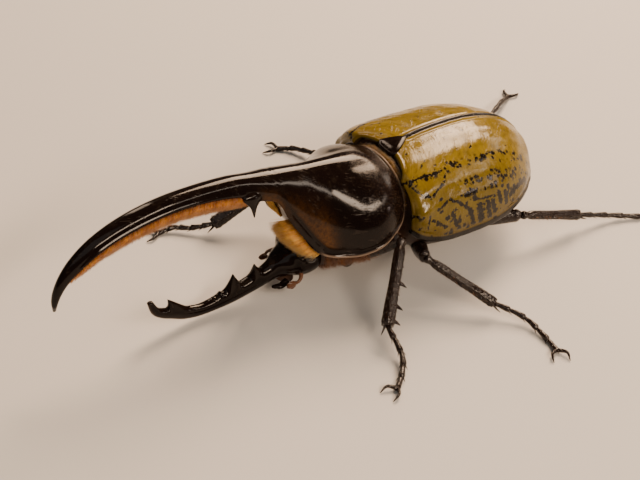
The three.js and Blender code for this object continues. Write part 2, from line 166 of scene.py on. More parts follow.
def tube(grid, marks=None, ends=(0.0, 0.0)):
    """A closed skin from rings. ends push the two closing points outwards, in mm."""
    rings, sides = grid.shape[:2]
    r = np.arange(rings - 1)[:, None] * sides
    s = np.arange(sides)[None]
    n = (s + 1) % sides
    quads = np.stack([r + s, r + n, r + n + sides, r + s + sides], -1).reshape(-1, 4)
    first, last = grid[0].mean(0), grid[-1].mean(0)
    first = first + ends[0] * unit(first - grid[1].mean(0))
    last = last + ends[1] * unit(last - grid[-2].mean(0))
    points = np.vstack([grid.reshape(-1, 3), first, last])
    a, b = rings * sides, rings * sides + 1
    low, high = np.arange(sides), (rings - 1) * sides + np.arange(sides)
    fans = [(a, int((i + 1) % sides), int(i)) for i in low]
    top = (rings - 1) * sides
    fans += [(b, int(i), int(top + (i - top + 1) % sides)) for i in high]
    out = {}
    for name, values in (marks or {}).items():
        flat = np.broadcast_to(values, (rings, sides)).reshape(-1)
        out[name] = np.concatenate([flat, [flat[:sides].mean(), flat[-sides:].mean()]])
    return {"points": points, "faces": [tuple(q) for q in quads.tolist()] + fans, "marks": out}


circle = np.linspace(0, 2 * np.pi, 12, endpoint=False)
ring = np.stack([np.cos(circle), 0 * circle, np.sin(circle)], -1)
trial = tube(np.stack([ring, ring + [0, 1, 0]]))
print("a trial drum has", len(trial["points"]), "points and", len(trial["faces"]), "faces")

# %% [markdown]
# ## From points to an object
#
# A skin is only a list of points and faces until it becomes a mesh. Its faces must
# all look outwards, and the **signed volume** tells whether they do: it is negative
# when a skin is inside out. Numbers that a finish needs, such as the distance from a
# plate's edge, are stored with the points as attributes, here called marks.

# %% From points to an object


def signed_volume(points, faces):
    """The volume inside a closed skin, negative if its faces look inwards."""
    total = 0.0
    for size in (3, 4):
        f = np.array([face for face in faces if len(face) == size])
        if len(f) == 0:
            continue
        for k in range(1, size - 1):
            a, b, c = points[f[:, 0]], points[f[:, k]], points[f[:, k + 1]]
            total += np.einsum("ij,ij->i", a, np.cross(b, c)).sum() / 6
    return total


def piece(name, parts, finish, nodes=(), uv=None):
    """One object from closed parts, riding on the root body and standing for nodes."""
    points, faces, marks, start = [], [], {}, 0
    names = sorted({n for part in parts for n in part.get("marks", {})})
    for part in parts:
        p = to_scene(part["points"])
        inside_out = signed_volume(p - p.mean(0), part["faces"]) < 0
        for face in part["faces"]:
            order = face[::-1] if inside_out else face
            faces.append(tuple(i + start for i in order))
        for n in names:
            values = part.get("marks", {}).get(n, np.zeros(len(p)))
            marks.setdefault(n, []).append(values)
        points.append(p)
        start += len(p)
    mesh = bpy.data.meshes.new(name)
    mesh.from_pydata(np.vstack(points).tolist(), [], faces)
    mesh.shade_smooth()
    for n in names:
        layer = mesh.attributes.new(n, "FLOAT", "POINT")
        layer.data.foreach_set("value", np.concatenate(marks[n]).astype(np.float32))
    if uv is not None:
        layer = mesh.uv_layers.new(name=uv[0])
        corner = np.zeros(len(mesh.loops), np.int32)
        mesh.loops.foreach_get("vertex_index", corner)
        layer.data.foreach_set("uv", uv[1][corner].astype(np.float32).ravel())
    mesh.materials.append(finish)
    made = bpy.data.objects.new(name, mesh)
    bpy.context.scene.collection.objects.link(made)
    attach(made, "root")
    if nodes:
        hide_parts(*nodes)
    print(f"{name}: {len(faces)} faces")


print("a trial drum's volume is", round(float(signed_volume(trial["points"], trial["faces"])), 3))

# %% [markdown]
# ## Limbs and spikes
#
# A leg section is a loft along a path instead of straight along the body. The
# path is a **Catmull-Rom** curve, which passes through every joint that it is
# given. Thorns, teeth and claws are limbs that run out to nothing.

# %% Limb helpers


def smooth_path(points, count):
    """A centripetal Catmull-Rom curve through the points, evenly spaced."""
    p = np.array(points, float)
    p = np.vstack([2 * p[0] - p[1], p, 2 * p[-1] - p[-2]])
    fine = []
    for a, b, c, d in zip(p[:-3], p[1:-2], p[2:-1], p[3:]):
        u, v, w = (np.linalg.norm(q) ** 0.5 for q in (b - a, c - b, d - c))
        leave = ((b - a) / u - (c - a) / (u + v) + (c - b) / v) * v
        arrive = ((c - b) / v - (d - b) / (v + w) + (d - c) / w) * v
        t = np.linspace(0, 1, 60)[:, None]
        cube = 2 * b - 2 * c + leave + arrive
        fine.append(b + t * leave + t**2 * (3 * c - 3 * b - 2 * leave - arrive) + t**3 * cube)
    fine = np.vstack([part[: -1] for part in fine] + [fine[-1][-1:]])
    length = np.concatenate([[0], np.cumsum(np.linalg.norm(np.diff(fine, axis=0), axis=1))])
    at = np.asarray(count if np.ndim(count) else np.linspace(0, 1, count)) * length[-1]
    return np.stack([np.interp(at, length, fine[:, k]) for k in range(3)], -1)


def limb(path, radius, rings=40, sides=24, wide=1.0, along=(0, 0, 1), relief=None, at=None):
    """Rings along a path: radius(t) round it, wide times as much along one way."""
    t = np.linspace(0, 1, rings) if at is None else np.asarray(at)
    middle = smooth_path(path, t)
    axis = unit(np.gradient(middle, axis=0))
    stretch = np.array(along, float)
    across = unit(stretch - axis * (axis @ stretch)[:, None])
    other = np.cross(axis, across)
    turn = np.linspace(0, 2 * np.pi, sides, endpoint=False)
    reach = np.broadcast_to(np.asarray(radius(t), float)[:, None], (len(t), sides)).copy()
    if relief is not None:
        reach += relief(t[:, None], turn[None])
    c, s = np.cos(turn)[None, :, None], np.sin(turn)[None, :, None]
    return tube(middle[:, None] + reach[..., None] * (wide * c * across[:, None] + s * other[:, None]))


BLUNT = 0.08  # a thorn's radius at its tip, as a share of the one at its foot


def thorn(foot, tip, radius, bend=(0, 0, 0), sides=8, rings=9):
    """A curved thorn from a foot to a tip, leaning by bend at its middle."""
    foot, tip = np.array(foot, float), np.array(tip, float)
    middle = (foot + tip) / 2 + np.array(bend, float)
    return limb([foot, middle, tip], lambda t: radius * ((1 - t) ** 0.8 * (1 - BLUNT) + BLUNT), rings, sides)


print("a trial thorn has", len(thorn((0, 0, 0), (0, 0, 3), 0.5)["faces"]), "faces")

# %% [markdown]
# ## Finishes: helpers
#
# Every finish is made of **nodes**, with no pictures. Wiring nodes by hand takes
# many lines, so short helpers keep the code readable: one adds a node and fills or
# links its inputs, a few do sums, one makes a soft step, one mixes two colours by a
# mask, and one reads a mark that is stored in the mesh.

# %% Node helpers


def node(tree, kind, inputs=None, **settings):
    """Adds a node; inputs may be plain values or sockets of other nodes."""
    made = tree.nodes.new(kind)
    for name, value in settings.items():
        setattr(made, name, value)
    for name, value in (inputs or {}).items():
        if isinstance(value, bpy.types.NodeSocket):
            tree.links.new(value, made.inputs[name])
        else:
            made.inputs[name].default_value = value
    return made


def sums(tree, operation, a, b=0.0, clamp=False):
    """One sum of two numbers; the next four are its short forms."""
    return node(tree, "ShaderNodeMath", {0: a, 1: b}, operation=operation, use_clamp=clamp).outputs[0]


def times(tree, a, b, clamp=False):
    return sums(tree, "MULTIPLY", a, b, clamp)


def plus(tree, a, b, clamp=False):
    return sums(tree, "ADD", a, b, clamp)


def minus(tree, a, b):
    return sums(tree, "SUBTRACT", a, b)


def larger(tree, a, b):
    return sums(tree, "MAXIMUM", a, b)


def vector(tree, operation, a, b):
    """One sum of two vectors."""
    return node(tree, "ShaderNodeVectorMath", {0: a, 1: b}, operation=operation).outputs[0]


def between(tree, value, low, high, out_low=0.0, out_high=1.0):
    """A soft step: out_low below low, out_high above high."""
    ranges = {"Value": value, "From Min": low, "From Max": high, "To Min": out_low, "To Max": out_high}
    return node(tree, "ShaderNodeMapRange", ranges, interpolation_type="SMOOTHSTEP").outputs[0]


def mixed(tree, mask, a, b):
    """Two colours mixed by a mask: a where it is 0, b where it is 1."""
    made = node(tree, "ShaderNodeMix", data_type="RGBA", blend_type="MIX")
    for key, value in ((0, mask), (6, a), (7, b)):
        if isinstance(value, bpy.types.NodeSocket):
            tree.links.new(value, made.inputs[key])
        else:
            made.inputs[key].default_value = value if key == 0 else (*value, 1.0)
    return made.outputs[2]


def mark(tree, name):
    """A number stored in the mesh, such as the distance from a plate's edge."""
    return node(tree, "ShaderNodeAttribute", attribute_name=name).outputs["Fac"]


def place_in_mm(tree):
    """A point's place on the animal in millimetres."""
    where = node(tree, "ShaderNodeTexCoord").outputs["Object"]
    return vector(tree, "MULTIPLY", where, (1000, 1000, 1000))


def noise(tree, place, scale, detail=2.0, roughness=0.5, stretch=None):
    """Noise with about 'scale' lumps in a millimetre, or in a unit of 'place'."""
    if stretch:
        place = node(tree, "ShaderNodeMapping", {"Vector": place, "Scale": stretch}).outputs[0]
    values = {"Vector": place, "Scale": scale, "Detail": detail, "Roughness": roughness}
    return node(tree, "ShaderNodeTexNoise", values).outputs["Fac"]


print("materials before the first finish:", len(bpy.data.materials))

# %% [markdown]
# ## Groups and finishes
#
# An effect that several finishes share is a **node group** with named sockets, so it
# is wired once and used with other values each time. A finish itself is a material
# with a Principled shader. Its fixed values are set on the shader, and only what
# changes over the surface is linked to it: a colour, a roughness and a relief.

# %% Helpers for groups and finishes


def new_group(name, inputs, outputs):
    """An empty shader node group with named sockets; returns it with its two ends."""
    group = bpy.data.node_groups.new(name, "ShaderNodeTree")
    for title, kind, value in inputs:
        socket = group.interface.new_socket(title, in_out="INPUT", socket_type=kind)
        if value is not None:
            socket.default_value = value
    for title, kind in outputs:
        group.interface.new_socket(title, in_out="OUTPUT", socket_type=kind)
    return group, group.nodes.new("NodeGroupInput"), group.nodes.new("NodeGroupOutput")


def use(tree, group, **inputs):
    """Places a group in a tree and fills its inputs by name (_ stands for a space)."""
    made = node(tree, "ShaderNodeGroup", node_tree=group)
    for name, value in inputs.items():
        name = name.replace("_", " ")
        if isinstance(value, bpy.types.NodeSocket):
            tree.links.new(value, made.inputs[name])
        else:
            made.inputs[name].default_value = value
    return made.outputs


def finish_named(name, rough, coat, coat_rough, specular):
    """A new material with a Principled shader; returns both and its node tree."""
    made = bpy.data.materials.new(name)
    made.use_nodes = True
    shader = made.node_tree.nodes["Principled BSDF"]
    fixed = {"Roughness": rough, "Coat Weight": coat, "Coat Roughness": coat_rough,
             "Specular IOR Level": specular, "IOR": 1.5}
    for key, value in fixed.items():
        shader.inputs[key].default_value = value
    return made, shader, made.node_tree


def feed(tree, shader, colour=None, rough=None, height=None, depth=0.1):
    """Links a colour, a roughness and a relief to a shader; depth is in mm."""
    if colour is not None:
        tree.links.new(colour, shader.inputs["Base Color"])
    if rough is not None:
        tree.links.new(rough, shader.inputs["Roughness"])
    if height is not None:
        relief = node(tree, "ShaderNodeBump", {"Strength": 1.0, "Distance": depth * MM, "Height": height})
        tree.links.new(relief.outputs[0], shader.inputs["Normal"])


print("a relief of 1 mm is given to a shader as", 1 * MM, "m")

# %% [markdown]
# ## Effects that several finishes share
#
# A beetle's shell is never one flat colour: it has fine grain, small pits, and the
# scratches and dust of a life on bark. These go into **node groups**, each with
# named inputs, so that every finish can use them at its own strength.

# %% Group: grain and pits
NUMBER = "NodeSocketFloat"
grain_group, start, end = new_group(
    "Shell grain",
    [("Lumps", NUMBER, 4.0), ("Pits", NUMBER, 2.0), ("Pit depth", NUMBER, 0.5)],
    [("Height", NUMBER), ("Cloud", NUMBER)])
t = grain_group
in_mm = place_in_mm(t)
lumps = node(t, "ShaderNodeTexNoise", {"Vector": in_mm, "Scale": start.outputs["Lumps"], "Detail": 3.0})
cells = node(t, "ShaderNodeTexVoronoi", {"Vector": in_mm, "Scale": start.outputs["Pits"], "Randomness": 0.9})
pit = between(t, cells.outputs["Distance"], 0.1, 0.36, 1.0, 0.0)
sunk = times(t, pit, start.outputs["Pit depth"])
height = minus(t, lumps.outputs["Fac"], sunk)
cloud = node(t, "ShaderNodeTexNoise", {"Vector": in_mm, "Scale": 0.12, "Detail": 3.0})
t.links.new(height, end.inputs["Height"])
t.links.new(cloud.outputs["Fac"], end.inputs["Cloud"])
print(grain_group.name, "has", len(t.nodes), "nodes")

# %% [markdown]
# ### Scratches
#
# A beetle that pushes through bark gets fine scratches, most of them in a few worn
# places. They could be drawn one by one, but a **noise that is squeezed along one
# way** already gives long thin lines, and a coarse noise says where they are.

# %% Group: scratches
scratch_group, start, end = new_group(
    "Fine scratches", [("Amount", NUMBER, 0.5), ("Turn", NUMBER, 0.0)], [("Mask", NUMBER)])
t = scratch_group
in_mm = place_in_mm(t)
spin = {"Vector": in_mm, "Angle": start.outputs["Turn"]}
turned = node(t, "ShaderNodeVectorRotate", spin, rotation_type="Z_AXIS")
fine = noise(t, turned.outputs[0], 3.2, 3.0, 0.6, (1.0, 0.09, 0.25))
patchy = noise(t, in_mm, 0.25, 2.0)
lines = between(t, fine, 0.58, 0.66)
zones = between(t, patchy, 0.42, 0.6)
mask = times(t, times(t, lines, zones), start.outputs["Amount"], clamp=True)
t.links.new(mask, end.inputs["Mask"])
print(scratch_group.name, "has", len(t.nodes), "nodes")

# %% [markdown]
# ### Dust
#
# Dust falls from above, so it lies only where the surface **looks up**, which the
# height of its normal tells. It is a thin uneven film with a few coarser specks.

# %% Group: dust
dust_group, start, end = new_group("Dust from above", [("Amount", NUMBER, 0.2)], [("Mask", NUMBER)])
t = dust_group
in_mm = place_in_mm(t)
facing = node(t, "ShaderNodeSeparateXYZ", {0: node(t, "ShaderNodeNewGeometry").outputs["Normal"]}).outputs[2]
specks = between(t, noise(t, in_mm, 5.0, 2.0), 0.66, 0.74)
film = between(t, noise(t, in_mm, 0.35, 4.0, 0.65), 0.5, 0.75)
both = plus(t, times(t, film, 0.35), specks)
up = between(t, facing, 0.1, 0.8)
mask = times(t, times(t, both, up), start.outputs["Amount"], clamp=True)
t.links.new(mask, end.inputs["Mask"])
print(dust_group.name, "has", len(t.nodes), "nodes")

# %% [markdown]
# ### Spots
#
# The wing cases are strewn with dark spots. On a shell's own flat map each cell of a
# **Voronoi pattern** may hold one spot: the cell's random colour decides whether it
# does, and how big the spot is. Several layers with other spacings make a rich
# pattern that never repeats.

# %% Group: a layer of spots
spot_group, start, end = new_group(
    "Layer of spots",
    [("Map", "NodeSocketVector", None), ("Spacing", NUMBER, 4.0), ("Size", NUMBER, 0.5),
     ("Chance", NUMBER, 0.4), ("Seed", NUMBER, 0.0)],
    [("Mask", NUMBER)])
t = spot_group
seed = node(t, "ShaderNodeCombineXYZ", {0: start.outputs["Seed"], 1: start.outputs["Seed"]}).outputs[0]
shifted = vector(t, "ADD", start.outputs["Map"], seed)
per_mm = sums(t, "DIVIDE", 1.0, start.outputs["Spacing"])
cells = node(t, "ShaderNodeTexVoronoi", {"Vector": shifted, "Scale": per_mm, "Randomness": 0.95})
dice = node(t, "ShaderNodeSeparateColor", {0: cells.outputs["Color"]})
ragged = times(t, minus(t, noise(t, shifted, 1.6, 3.0, 0.6), 0.5), 0.9)
away = plus(t, times(t, cells.outputs["Distance"], start.outputs["Spacing"]), ragged)
size = times(t, start.outputs["Size"], plus(t, 0.45, dice.outputs[1]))
ratio = sums(t, "DIVIDE", away, size)
spot = between(t, ratio, 0.75, 1.15, 1.0, 0.0)
here = sums(t, "LESS_THAN", dice.outputs[0], start.outputs["Chance"])
t.links.new(times(t, spot, here), end.inputs["Mask"])
print("shared effects:", len(bpy.data.node_groups))

# %% [markdown]
# ## Black shell
#
# Shield, horns and head are black with a deep brown in it, polished at the front
# and finely grained toward the rear edge, where light brown speckles are painted into
# the grain as glints. The beads carry a painted highlight line, and a painted warm
# reflection lies on the side near the collar and at the horn's root. A clear coat could
# carry the gloss, but a coat stays smooth over any relief of the base. So the base
# itself is glossy here: at the front it mirrors the lamps almost cleanly, and at the
# rear the relief breaks their image into glints.

# %% Black shell
black_shell, shader, tree = finish_named("black_shell", 0.1, 0.0, 0.05, 0.18)
grain = use(tree, grain_group, Lumps=2.8, Pits=2.1, Pit_depth=0.9)
scratch = use(tree, scratch_group, Amount=0.7, Turn=0.5)
dust = use(tree, dust_group, Amount=0.14)
rear = mark(tree, "rear")
in_mm = place_in_mm(tree)
deep = mixed(tree, grain["Cloud"], (0.0024, 0.0012, 0.001), (0.0065, 0.0031, 0.002))
# Light speckles toward the rear: painted glints in the grain, not the shell's own colour.
painted_glints = between(tree, noise(tree, in_mm, 3.0, 3.0, 0.75), 0.55, 0.64)
painted_glints = times(tree, painted_glints, between(tree, rear, 0.35, 0.95))
colour = mixed(tree, times(tree, painted_glints, 0.4), deep, (0.13, 0.078, 0.05))
# The beads are painted lighter: a painted highlight line along the rims.
colour = mixed(tree, times(tree, mark(tree, "bead"), 0.85), colour, (0.22, 0.155, 0.11))
colour = mixed(tree, between(tree, mark(tree, "under"), 0.2, 0.8), colour, (0.014, 0.0045, 0.001))
# A painted warm reflection on the side near the collar and at the horn's root.
painted_warm_reflection = times(tree, mark(tree, "glow"), between(tree, noise(tree, in_mm, 0.9, 5.0, 0.7), 0.1, 0.9))
colour = mixed(tree, painted_warm_reflection, colour, (0.1, 0.038, 0.005))
colour = mixed(tree, times(tree, scratch["Mask"], 0.35), colour, (0.05, 0.038, 0.03))
colour = mixed(tree, dust["Mask"], colour, (0.17, 0.125, 0.085))
rough = between(tree, rear, 0.3, 1.0, 0.09, 0.12)
rough = plus(tree, rough, times(tree, scratch["Mask"], 0.12))
rough = plus(tree, rough, times(tree, dust["Mask"], 0.3), clamp=True)
strength = between(tree, rear, 0.35, 0.95, 0.035, 0.5)
height = times(tree, grain["Height"], strength)
height = minus(tree, height, times(tree, scratch["Mask"], 0.12))
feed(tree, shader, colour, rough, height, 0.09)
print(black_shell.name, "has", len(tree.nodes), "nodes")

# %% [markdown]
# ## Olive shell
#
# The wing cases are olive yellow with black marks: a dark line and a bent mark on
# the shoulder, broken rows down the middle, and short cross streaks near the outer
# rim. A picture could be painted for this, but the pattern is simple enough for
# **distances** on the shell's own flat map. Each main mark is a stroke between two
# points, the nearest stroke wins, and a noise that shifts the map first makes every
# edge ragged. Layers of small loose spots fill in the rest.

# %% Olive shell: the map and its strokes
olive_shell, shader, tree = finish_named("olive_shell", 0.12, 0.0, 0.1, 0.32)
down, out = mark(tree, "down"), mark(tree, "out")
rim_gap, back_gap = mark(tree, "rim"), mark(tree, "back")
shell_map = node(tree, "ShaderNodeCombineXYZ", {0: down, 1: out}).outputs[0]
in_mm = place_in_mm(tree)
shake = node(tree, "ShaderNodeTexNoise", {"Vector": in_mm, "Scale": 1.3, "Detail": 4.0, "Roughness": 0.6})
shift = vector(tree, "ADD", shake.outputs["Color"], (-0.5, -0.5, -0.5))
shift = node(tree, "ShaderNodeVectorMath", {0: shift, "Scale": 1.7}, operation="SCALE").outputs[0]
ragged_map = vector(tree, "ADD", shell_map, vector(tree, "MULTIPLY", shift, (1, 1, 0)))
print(olive_shell.name, "has", len(tree.nodes), "nodes so far")

# %% [markdown]
# ### The main marks
#
# The places of the main marks are kept in a short list, in millimetres down the
# shell from its front edge and out from the seam. Each **stroke** runs from one place
# to another and has half a width; each **blot** has a place and a radius.

# %% Olive shell: strokes and blots
# Strokes from [down, out] to [down, out] in mm, and half their width.
STROKES = [
    (0, 13.6, 6.2, 15, 0.3), (6.2, 15, 12, 15.6, 0.42), (2.8, 16.2, 4.6, 19.8, 0.24),
    (4.6, 19.8, 7.2, 21.2, 0.3), (7.2, 21.2, 12.1, 18.8, 0.34), (12.1, 18.8, 13.4, 16.9, 0.3),
    (18.2, 24.1, 22, 23.8, 0.75), (12.6, 23.7, 16, 25.8, 0.4), (16, 25.8, 20.2, 29.5, 0.5),
    (19.4, 28.8, 20.9, 33.4, 0.75), (22.7, 28.5, 23.8, 33, 1.1), (25.7, 28.1, 26.9, 32.7, 0.8),
    (27.5, 28.3, 28.9, 31.5, 0.8), (30, 26, 31, 29, 0.75), (32.8, 26.3, 33.3, 28.8, 0.75),
    (35.4, 27.2, 39.8, 24.4, 0.8), (39.8, 24.4, 44.5, 21.8, 0.75), (11.6, 24.1, 8.5, 25.3, 0.34),
    (6.7, 27.5, 11.3, 31.6, 0.38), (5.6, 25.6, 5.6, 30, 0.26), (1.1, 23.3, 3.7, 25.1, 0.3),
    (13.4, 28.4, 15.2, 32.6, 0.6), (20.8, 26.2, 28.6, 26.8, 0.34)]
# Blots: [down, out] in mm and the radius.
BLOTS = [
    (9.5, 26.2, 0.6), (12.8, 30.2, 0.5), (18.2, 26.6, 0.5), (17.6, 33, 0.6), (3.2, 28.6, 0.45),
    (8.4, 29.8, 0.5), (24.6, 29.8, 0.5), (29.2, 24, 0.5), (31.8, 24.4, 0.55), (34.6, 25.4, 0.6),
    (37.2, 22.6, 0.5), (42.2, 20.6, 0.5), (12.7, 15.1, 0.35), (14.1, 15.2, 0.42), (15.6, 13.9, 0.36),
    (16.8, 14.3, 0.62), (18, 14.7, 0.45), (19.3, 15.8, 0.45), (22.2, 16.2, 0.48), (23.1, 15.4, 0.35),
    (24.8, 15.8, 0.48), (26.1, 15.7, 0.4), (27.2, 15.9, 0.42), (28.4, 15.8, 0.46), (21.5, 21.4, 0.42),
    (23.2, 21.3, 0.4), (24.5, 21.3, 0.42), (26.7, 21.2, 0.5), (28, 20.8, 0.42), (29.8, 20.6, 0.45),
    (31.1, 21.4, 0.4), (32.9, 22.2, 0.5), (34.3, 21.6, 0.42), (31.4, 14.7, 0.6), (34, 14.4, 0.5),
    (25.1, 24.1, 0.5), (27.7, 23.6, 0.75), (16.7, 23.9, 0.4), (11.5, 28.7, 0.9), (14.2, 27.2, 0.5),
    (15.9, 31.1, 0.6), (39.1, 19.5, 0.6), (41.7, 18.7, 0.5), (44.6, 15.8, 0.6), (39.9, 16.7, 0.4),
    (45.7, 20, 0.5), (33.2, 17.1, 0.45), (22.7, 20, 0.4), (30.6, 19.6, 0.5), (24.9, 11.3, 0.4),
    (6.9, 11.9, 0.4)]


def off_stroke(down_a, out_a, down_b, out_b, half_width):
    """Distance on the ragged map from a stroke's edge, in mm."""
    a, b = Vector((down_a, out_a, 0)), Vector((down_b, out_b, 0))
    along = (b - a).normalized()
    rel = vector(tree, "SUBTRACT", ragged_map, a)
    far = node(tree, "ShaderNodeVectorMath", {0: rel, 1: along}, operation="DOT_PRODUCT").outputs["Value"]
    far = node(tree, "ShaderNodeClamp", {"Value": far, "Min": 0.0, "Max": (b - a).length}).outputs[0]
    foot = node(tree, "ShaderNodeVectorMath", {0: along, "Scale": far}, operation="SCALE").outputs[0]
    away = node(tree, "ShaderNodeVectorMath", {0: rel, 1: foot}, operation="DISTANCE").outputs["Value"]
    return minus(tree, away, half_width)


def off_blot(down_a, out_a, radius):
    """Distance on the ragged map from a blot's edge, in mm."""
    away = node(tree, "ShaderNodeVectorMath", {0: ragged_map, 1: (down_a, out_a, 0)}, operation="DISTANCE")
    return minus(tree, away.outputs["Value"], radius)


nearest = None
for off in [off_stroke(*one) for one in STROKES] + [off_blot(*one) for one in BLOTS]:
    nearest = off if nearest is None else sums(tree, "MINIMUM", nearest, off)
broken = between(tree, noise(tree, in_mm, 1.15, 3.0, 0.6), 0.36, 0.46, 0.45, 0.0)
main_marks = between(tree, plus(tree, nearest, broken), -0.04, 0.16, 1.0, 0.0)
print("main marks:", len(STROKES), "strokes and", len(BLOTS), "blots")

# %% [markdown]
# ### Loose spots and borders
#
# Between the main marks lie loose spots, more of them toward the outer rim, two rows
# of close dots, a band of cross streaks and a dark patch at the rear. Each is one
# layer of spots with its own **chance**, and the darkest layer wins at every point.
# A thin black border follows the seam and the edges.

# %% Olive shell: loose spots and borders


def darkest(*masks):
    """The largest of several masks at every point."""
    total = masks[0]
    for each in masks[1:]:
        total = larger(tree, total, each)
    return total


def near_line(value, centre, half_width, soft=0.35):
    """1 along a line of the map, 0 away from it."""
    off = sums(tree, "ABSOLUTE", minus(tree, value, centre))
    return between(tree, off, half_width, half_width + soft, 1.0, 0.0)


outer = between(tree, out, 14.0, 27.0)
loose = use(tree, spot_group, Map=ragged_map, Spacing=2.9, Size=0.56,
            Chance=plus(tree, 0.17, times(tree, outer, 0.46)), Seed=3.0)["Mask"]
fine_dots = use(tree, spot_group, Map=shell_map, Spacing=1.7, Size=0.26,
                Chance=between(tree, down, 2.0, 20.0, 0.5, 0.2), Seed=11.0)["Mask"]
dense = use(tree, spot_group, Map=ragged_map, Spacing=1.35, Size=0.6, Chance=0.75, Seed=5.0)["Mask"]
row_a = times(tree, near_line(out, 15.4, 0.8, 1.2), dense)
row_b = times(tree, near_line(out, 21.8, 1.4, 1.6), dense)
row_b = times(tree, row_b, between(tree, down, 14.0, 19.0))
squeezed = node(tree, "ShaderNodeMapping", {"Vector": shell_map, "Scale": (1.0, 0.42, 1.0)}).outputs[0]
band_middle = between(tree, down, 20.0, 48.0, 31.0, 24.6)
band = near_line(minus(tree, out, band_middle), 0.0, 1.6, 2.4)
band = times(tree, band, between(tree, down, 10.0, 16.0))
streaks = use(tree, spot_group, Map=squeezed, Spacing=1.9, Size=0.72, Chance=band, Seed=21.0)["Mask"]
hind_zone = times(tree, between(tree, back_gap, 19.0, 8.0), between(tree, out, 5.0, 12.0))
hind_spots = use(tree, spot_group, Map=ragged_map, Spacing=2.1, Size=0.62,
                 Chance=times(tree, hind_zone, 0.5), Seed=33.0)["Mask"]
spots = darkest(loose, fine_dots, row_a, row_b, streaks, hind_spots, main_marks)
front_edge = times(tree, between(tree, down, 0.1, 0.3, 1.0, 0.0), 0.9)
border = darkest(
    between(tree, out, 0.5, 0.85, 1.0, 0.0), between(tree, rim_gap, 0.9, 1.5, 1.0, 0.0),
    between(tree, back_gap, 0.5, 1.1, 1.0, 0.0), front_edge)
print("layers of loose spots:", sum(n.type == "GROUP" for n in tree.nodes))

# %% [markdown]
# ### Colour, gloss and relief of the wing cases
#
# The ground colour goes from a clear olive at the seam to a duller, darker one at the
# rim; that darkening is partly the shell's own colour and partly painted shade. It is
# darker near the front edge, as painted shade under the shield, and in the hollows of
# faint creases, as painted shade too. The gloss is nearly that of lacquer, but it is
# **worn** in patches, so the lamps' images break up there. Spots sink in a little, as
# they do on the real shell.

# %% Olive shell: colour, gloss and relief
# Darker toward the rim: partly the shell's own colour, partly painted shade. Darker near the front edge:
# painted shade under the shield.
darker_rim_and_shade = times(tree, between(tree, rim_gap, 1.2, 6.5, 1.0, 0.0), 0.5)
darker_rim_and_shade = larger(tree, darker_rim_and_shade, between(tree, down, 4.0, 0.5, 0.0, 0.45))
grain = use(tree, grain_group, Lumps=3.2, Pits=1.15, Pit_depth=0.5)
scratch = use(tree, scratch_group, Amount=1.0, Turn=-0.7)
dust = use(tree, dust_group, Amount=0.1)
wander = times(tree, minus(tree, noise(tree, shell_map, 0.4, 4.0, 0.7), 0.5), 5.0)
creases = noise(tree, shell_map, 1.0, 4.0, 0.62, (1.4, 0.14, 1.0))
olive = mixed(tree, grain["Cloud"], (0.115, 0.075, 0.004), (0.23, 0.158, 0.012))
faded = between(tree, noise(tree, shell_map, 0.5, 4.0, 0.6), 0.42, 0.75)
olive = mixed(tree, faded, olive, (0.105, 0.072, 0.004))
# Darker in the hollows of the creases: painted shade.
olive = mixed(tree, between(tree, creases, 0.6, 0.35, 0.0, 0.3), olive, (0.09, 0.048, 0.002))
# Darker toward the outer rim: partly the shell's own colour, partly painted shade.
olive = mixed(tree, times(tree, outer, 0.55), olive, (0.075, 0.052, 0.003))
olive = mixed(tree, darker_rim_and_shade, olive, (0.055, 0.03, 0.003))
colour = mixed(tree, spots, olive, (0.006, 0.004, 0.0025))
colour = mixed(tree, border, colour, (0.005, 0.0032, 0.0022))
colour = mixed(tree, mark(tree, "inside"), colour, (0.05, 0.028, 0.01))
colour = mixed(tree, dust["Mask"], colour, (0.3, 0.24, 0.16))
wavy = plus(tree, down, wander)
rubbed = noise(tree, shell_map, 0.8, 5.0, 0.75, (1.0, 0.3, 1.0))
worn = darkest(near_line(wavy, 10.6, 0.7, 1.2), near_line(wavy, 23.0, 0.6, 1.0),
               between(tree, rubbed, 0.54, 0.62), border)
rough = plus(tree, between(tree, worn, 0.0, 1.0, 0.1, 0.24), times(tree, scratch["Mask"], 0.3))
rough = plus(tree, rough, times(tree, dust["Mask"], 0.3), clamp=True)
height = minus(tree, times(tree, grain["Height"], 0.3), times(tree, scratch["Mask"], 0.4))
height = minus(tree, height, times(tree, spots, 0.25))
height = plus(tree, height, times(tree, creases, 1.3))
feed(tree, shader, colour, rough, height, 0.05)
print(olive_shell.name, "has", len(tree.nodes), "nodes")

# %% [markdown]
# ## Legs, underside, feelers and eyes
#
# The legs are brown-black and pitted, with a satin gloss; the underside is duller
# and browner, darkest along its seams. Feelers and palps are a clearer brown, and
# the eye is the glossiest thing on the animal. All four are the same grain at
# another scale, over other colours.

# %% Leg finish
leg_shell, shader, tree = finish_named("leg_shell", 0.12, 0.0, 0.1, 0.4)
grain = use(tree, grain_group, Lumps=1.5, Pits=1.2, Pit_depth=1.2)
scratch = use(tree, scratch_group, Amount=0.8, Turn=0.2)
dust = use(tree, dust_group, Amount=0.07)
colour = mixed(tree, grain["Cloud"], (0.004, 0.002, 0.0014), (0.015, 0.006, 0.003))
colour = mixed(tree, times(tree, scratch["Mask"], 0.4), colour, (0.05, 0.035, 0.025))
colour = mixed(tree, dust["Mask"], colour, (0.2, 0.145, 0.095))
rough = between(tree, grain["Height"], 0.2, 0.8, 0.18, 0.09)
rough = plus(tree, rough, times(tree, dust["Mask"], 0.4), clamp=True)
feed(tree, shader, colour, rough, grain["Height"], 0.22)
print(leg_shell.name, "has", len(tree.nodes), "nodes")

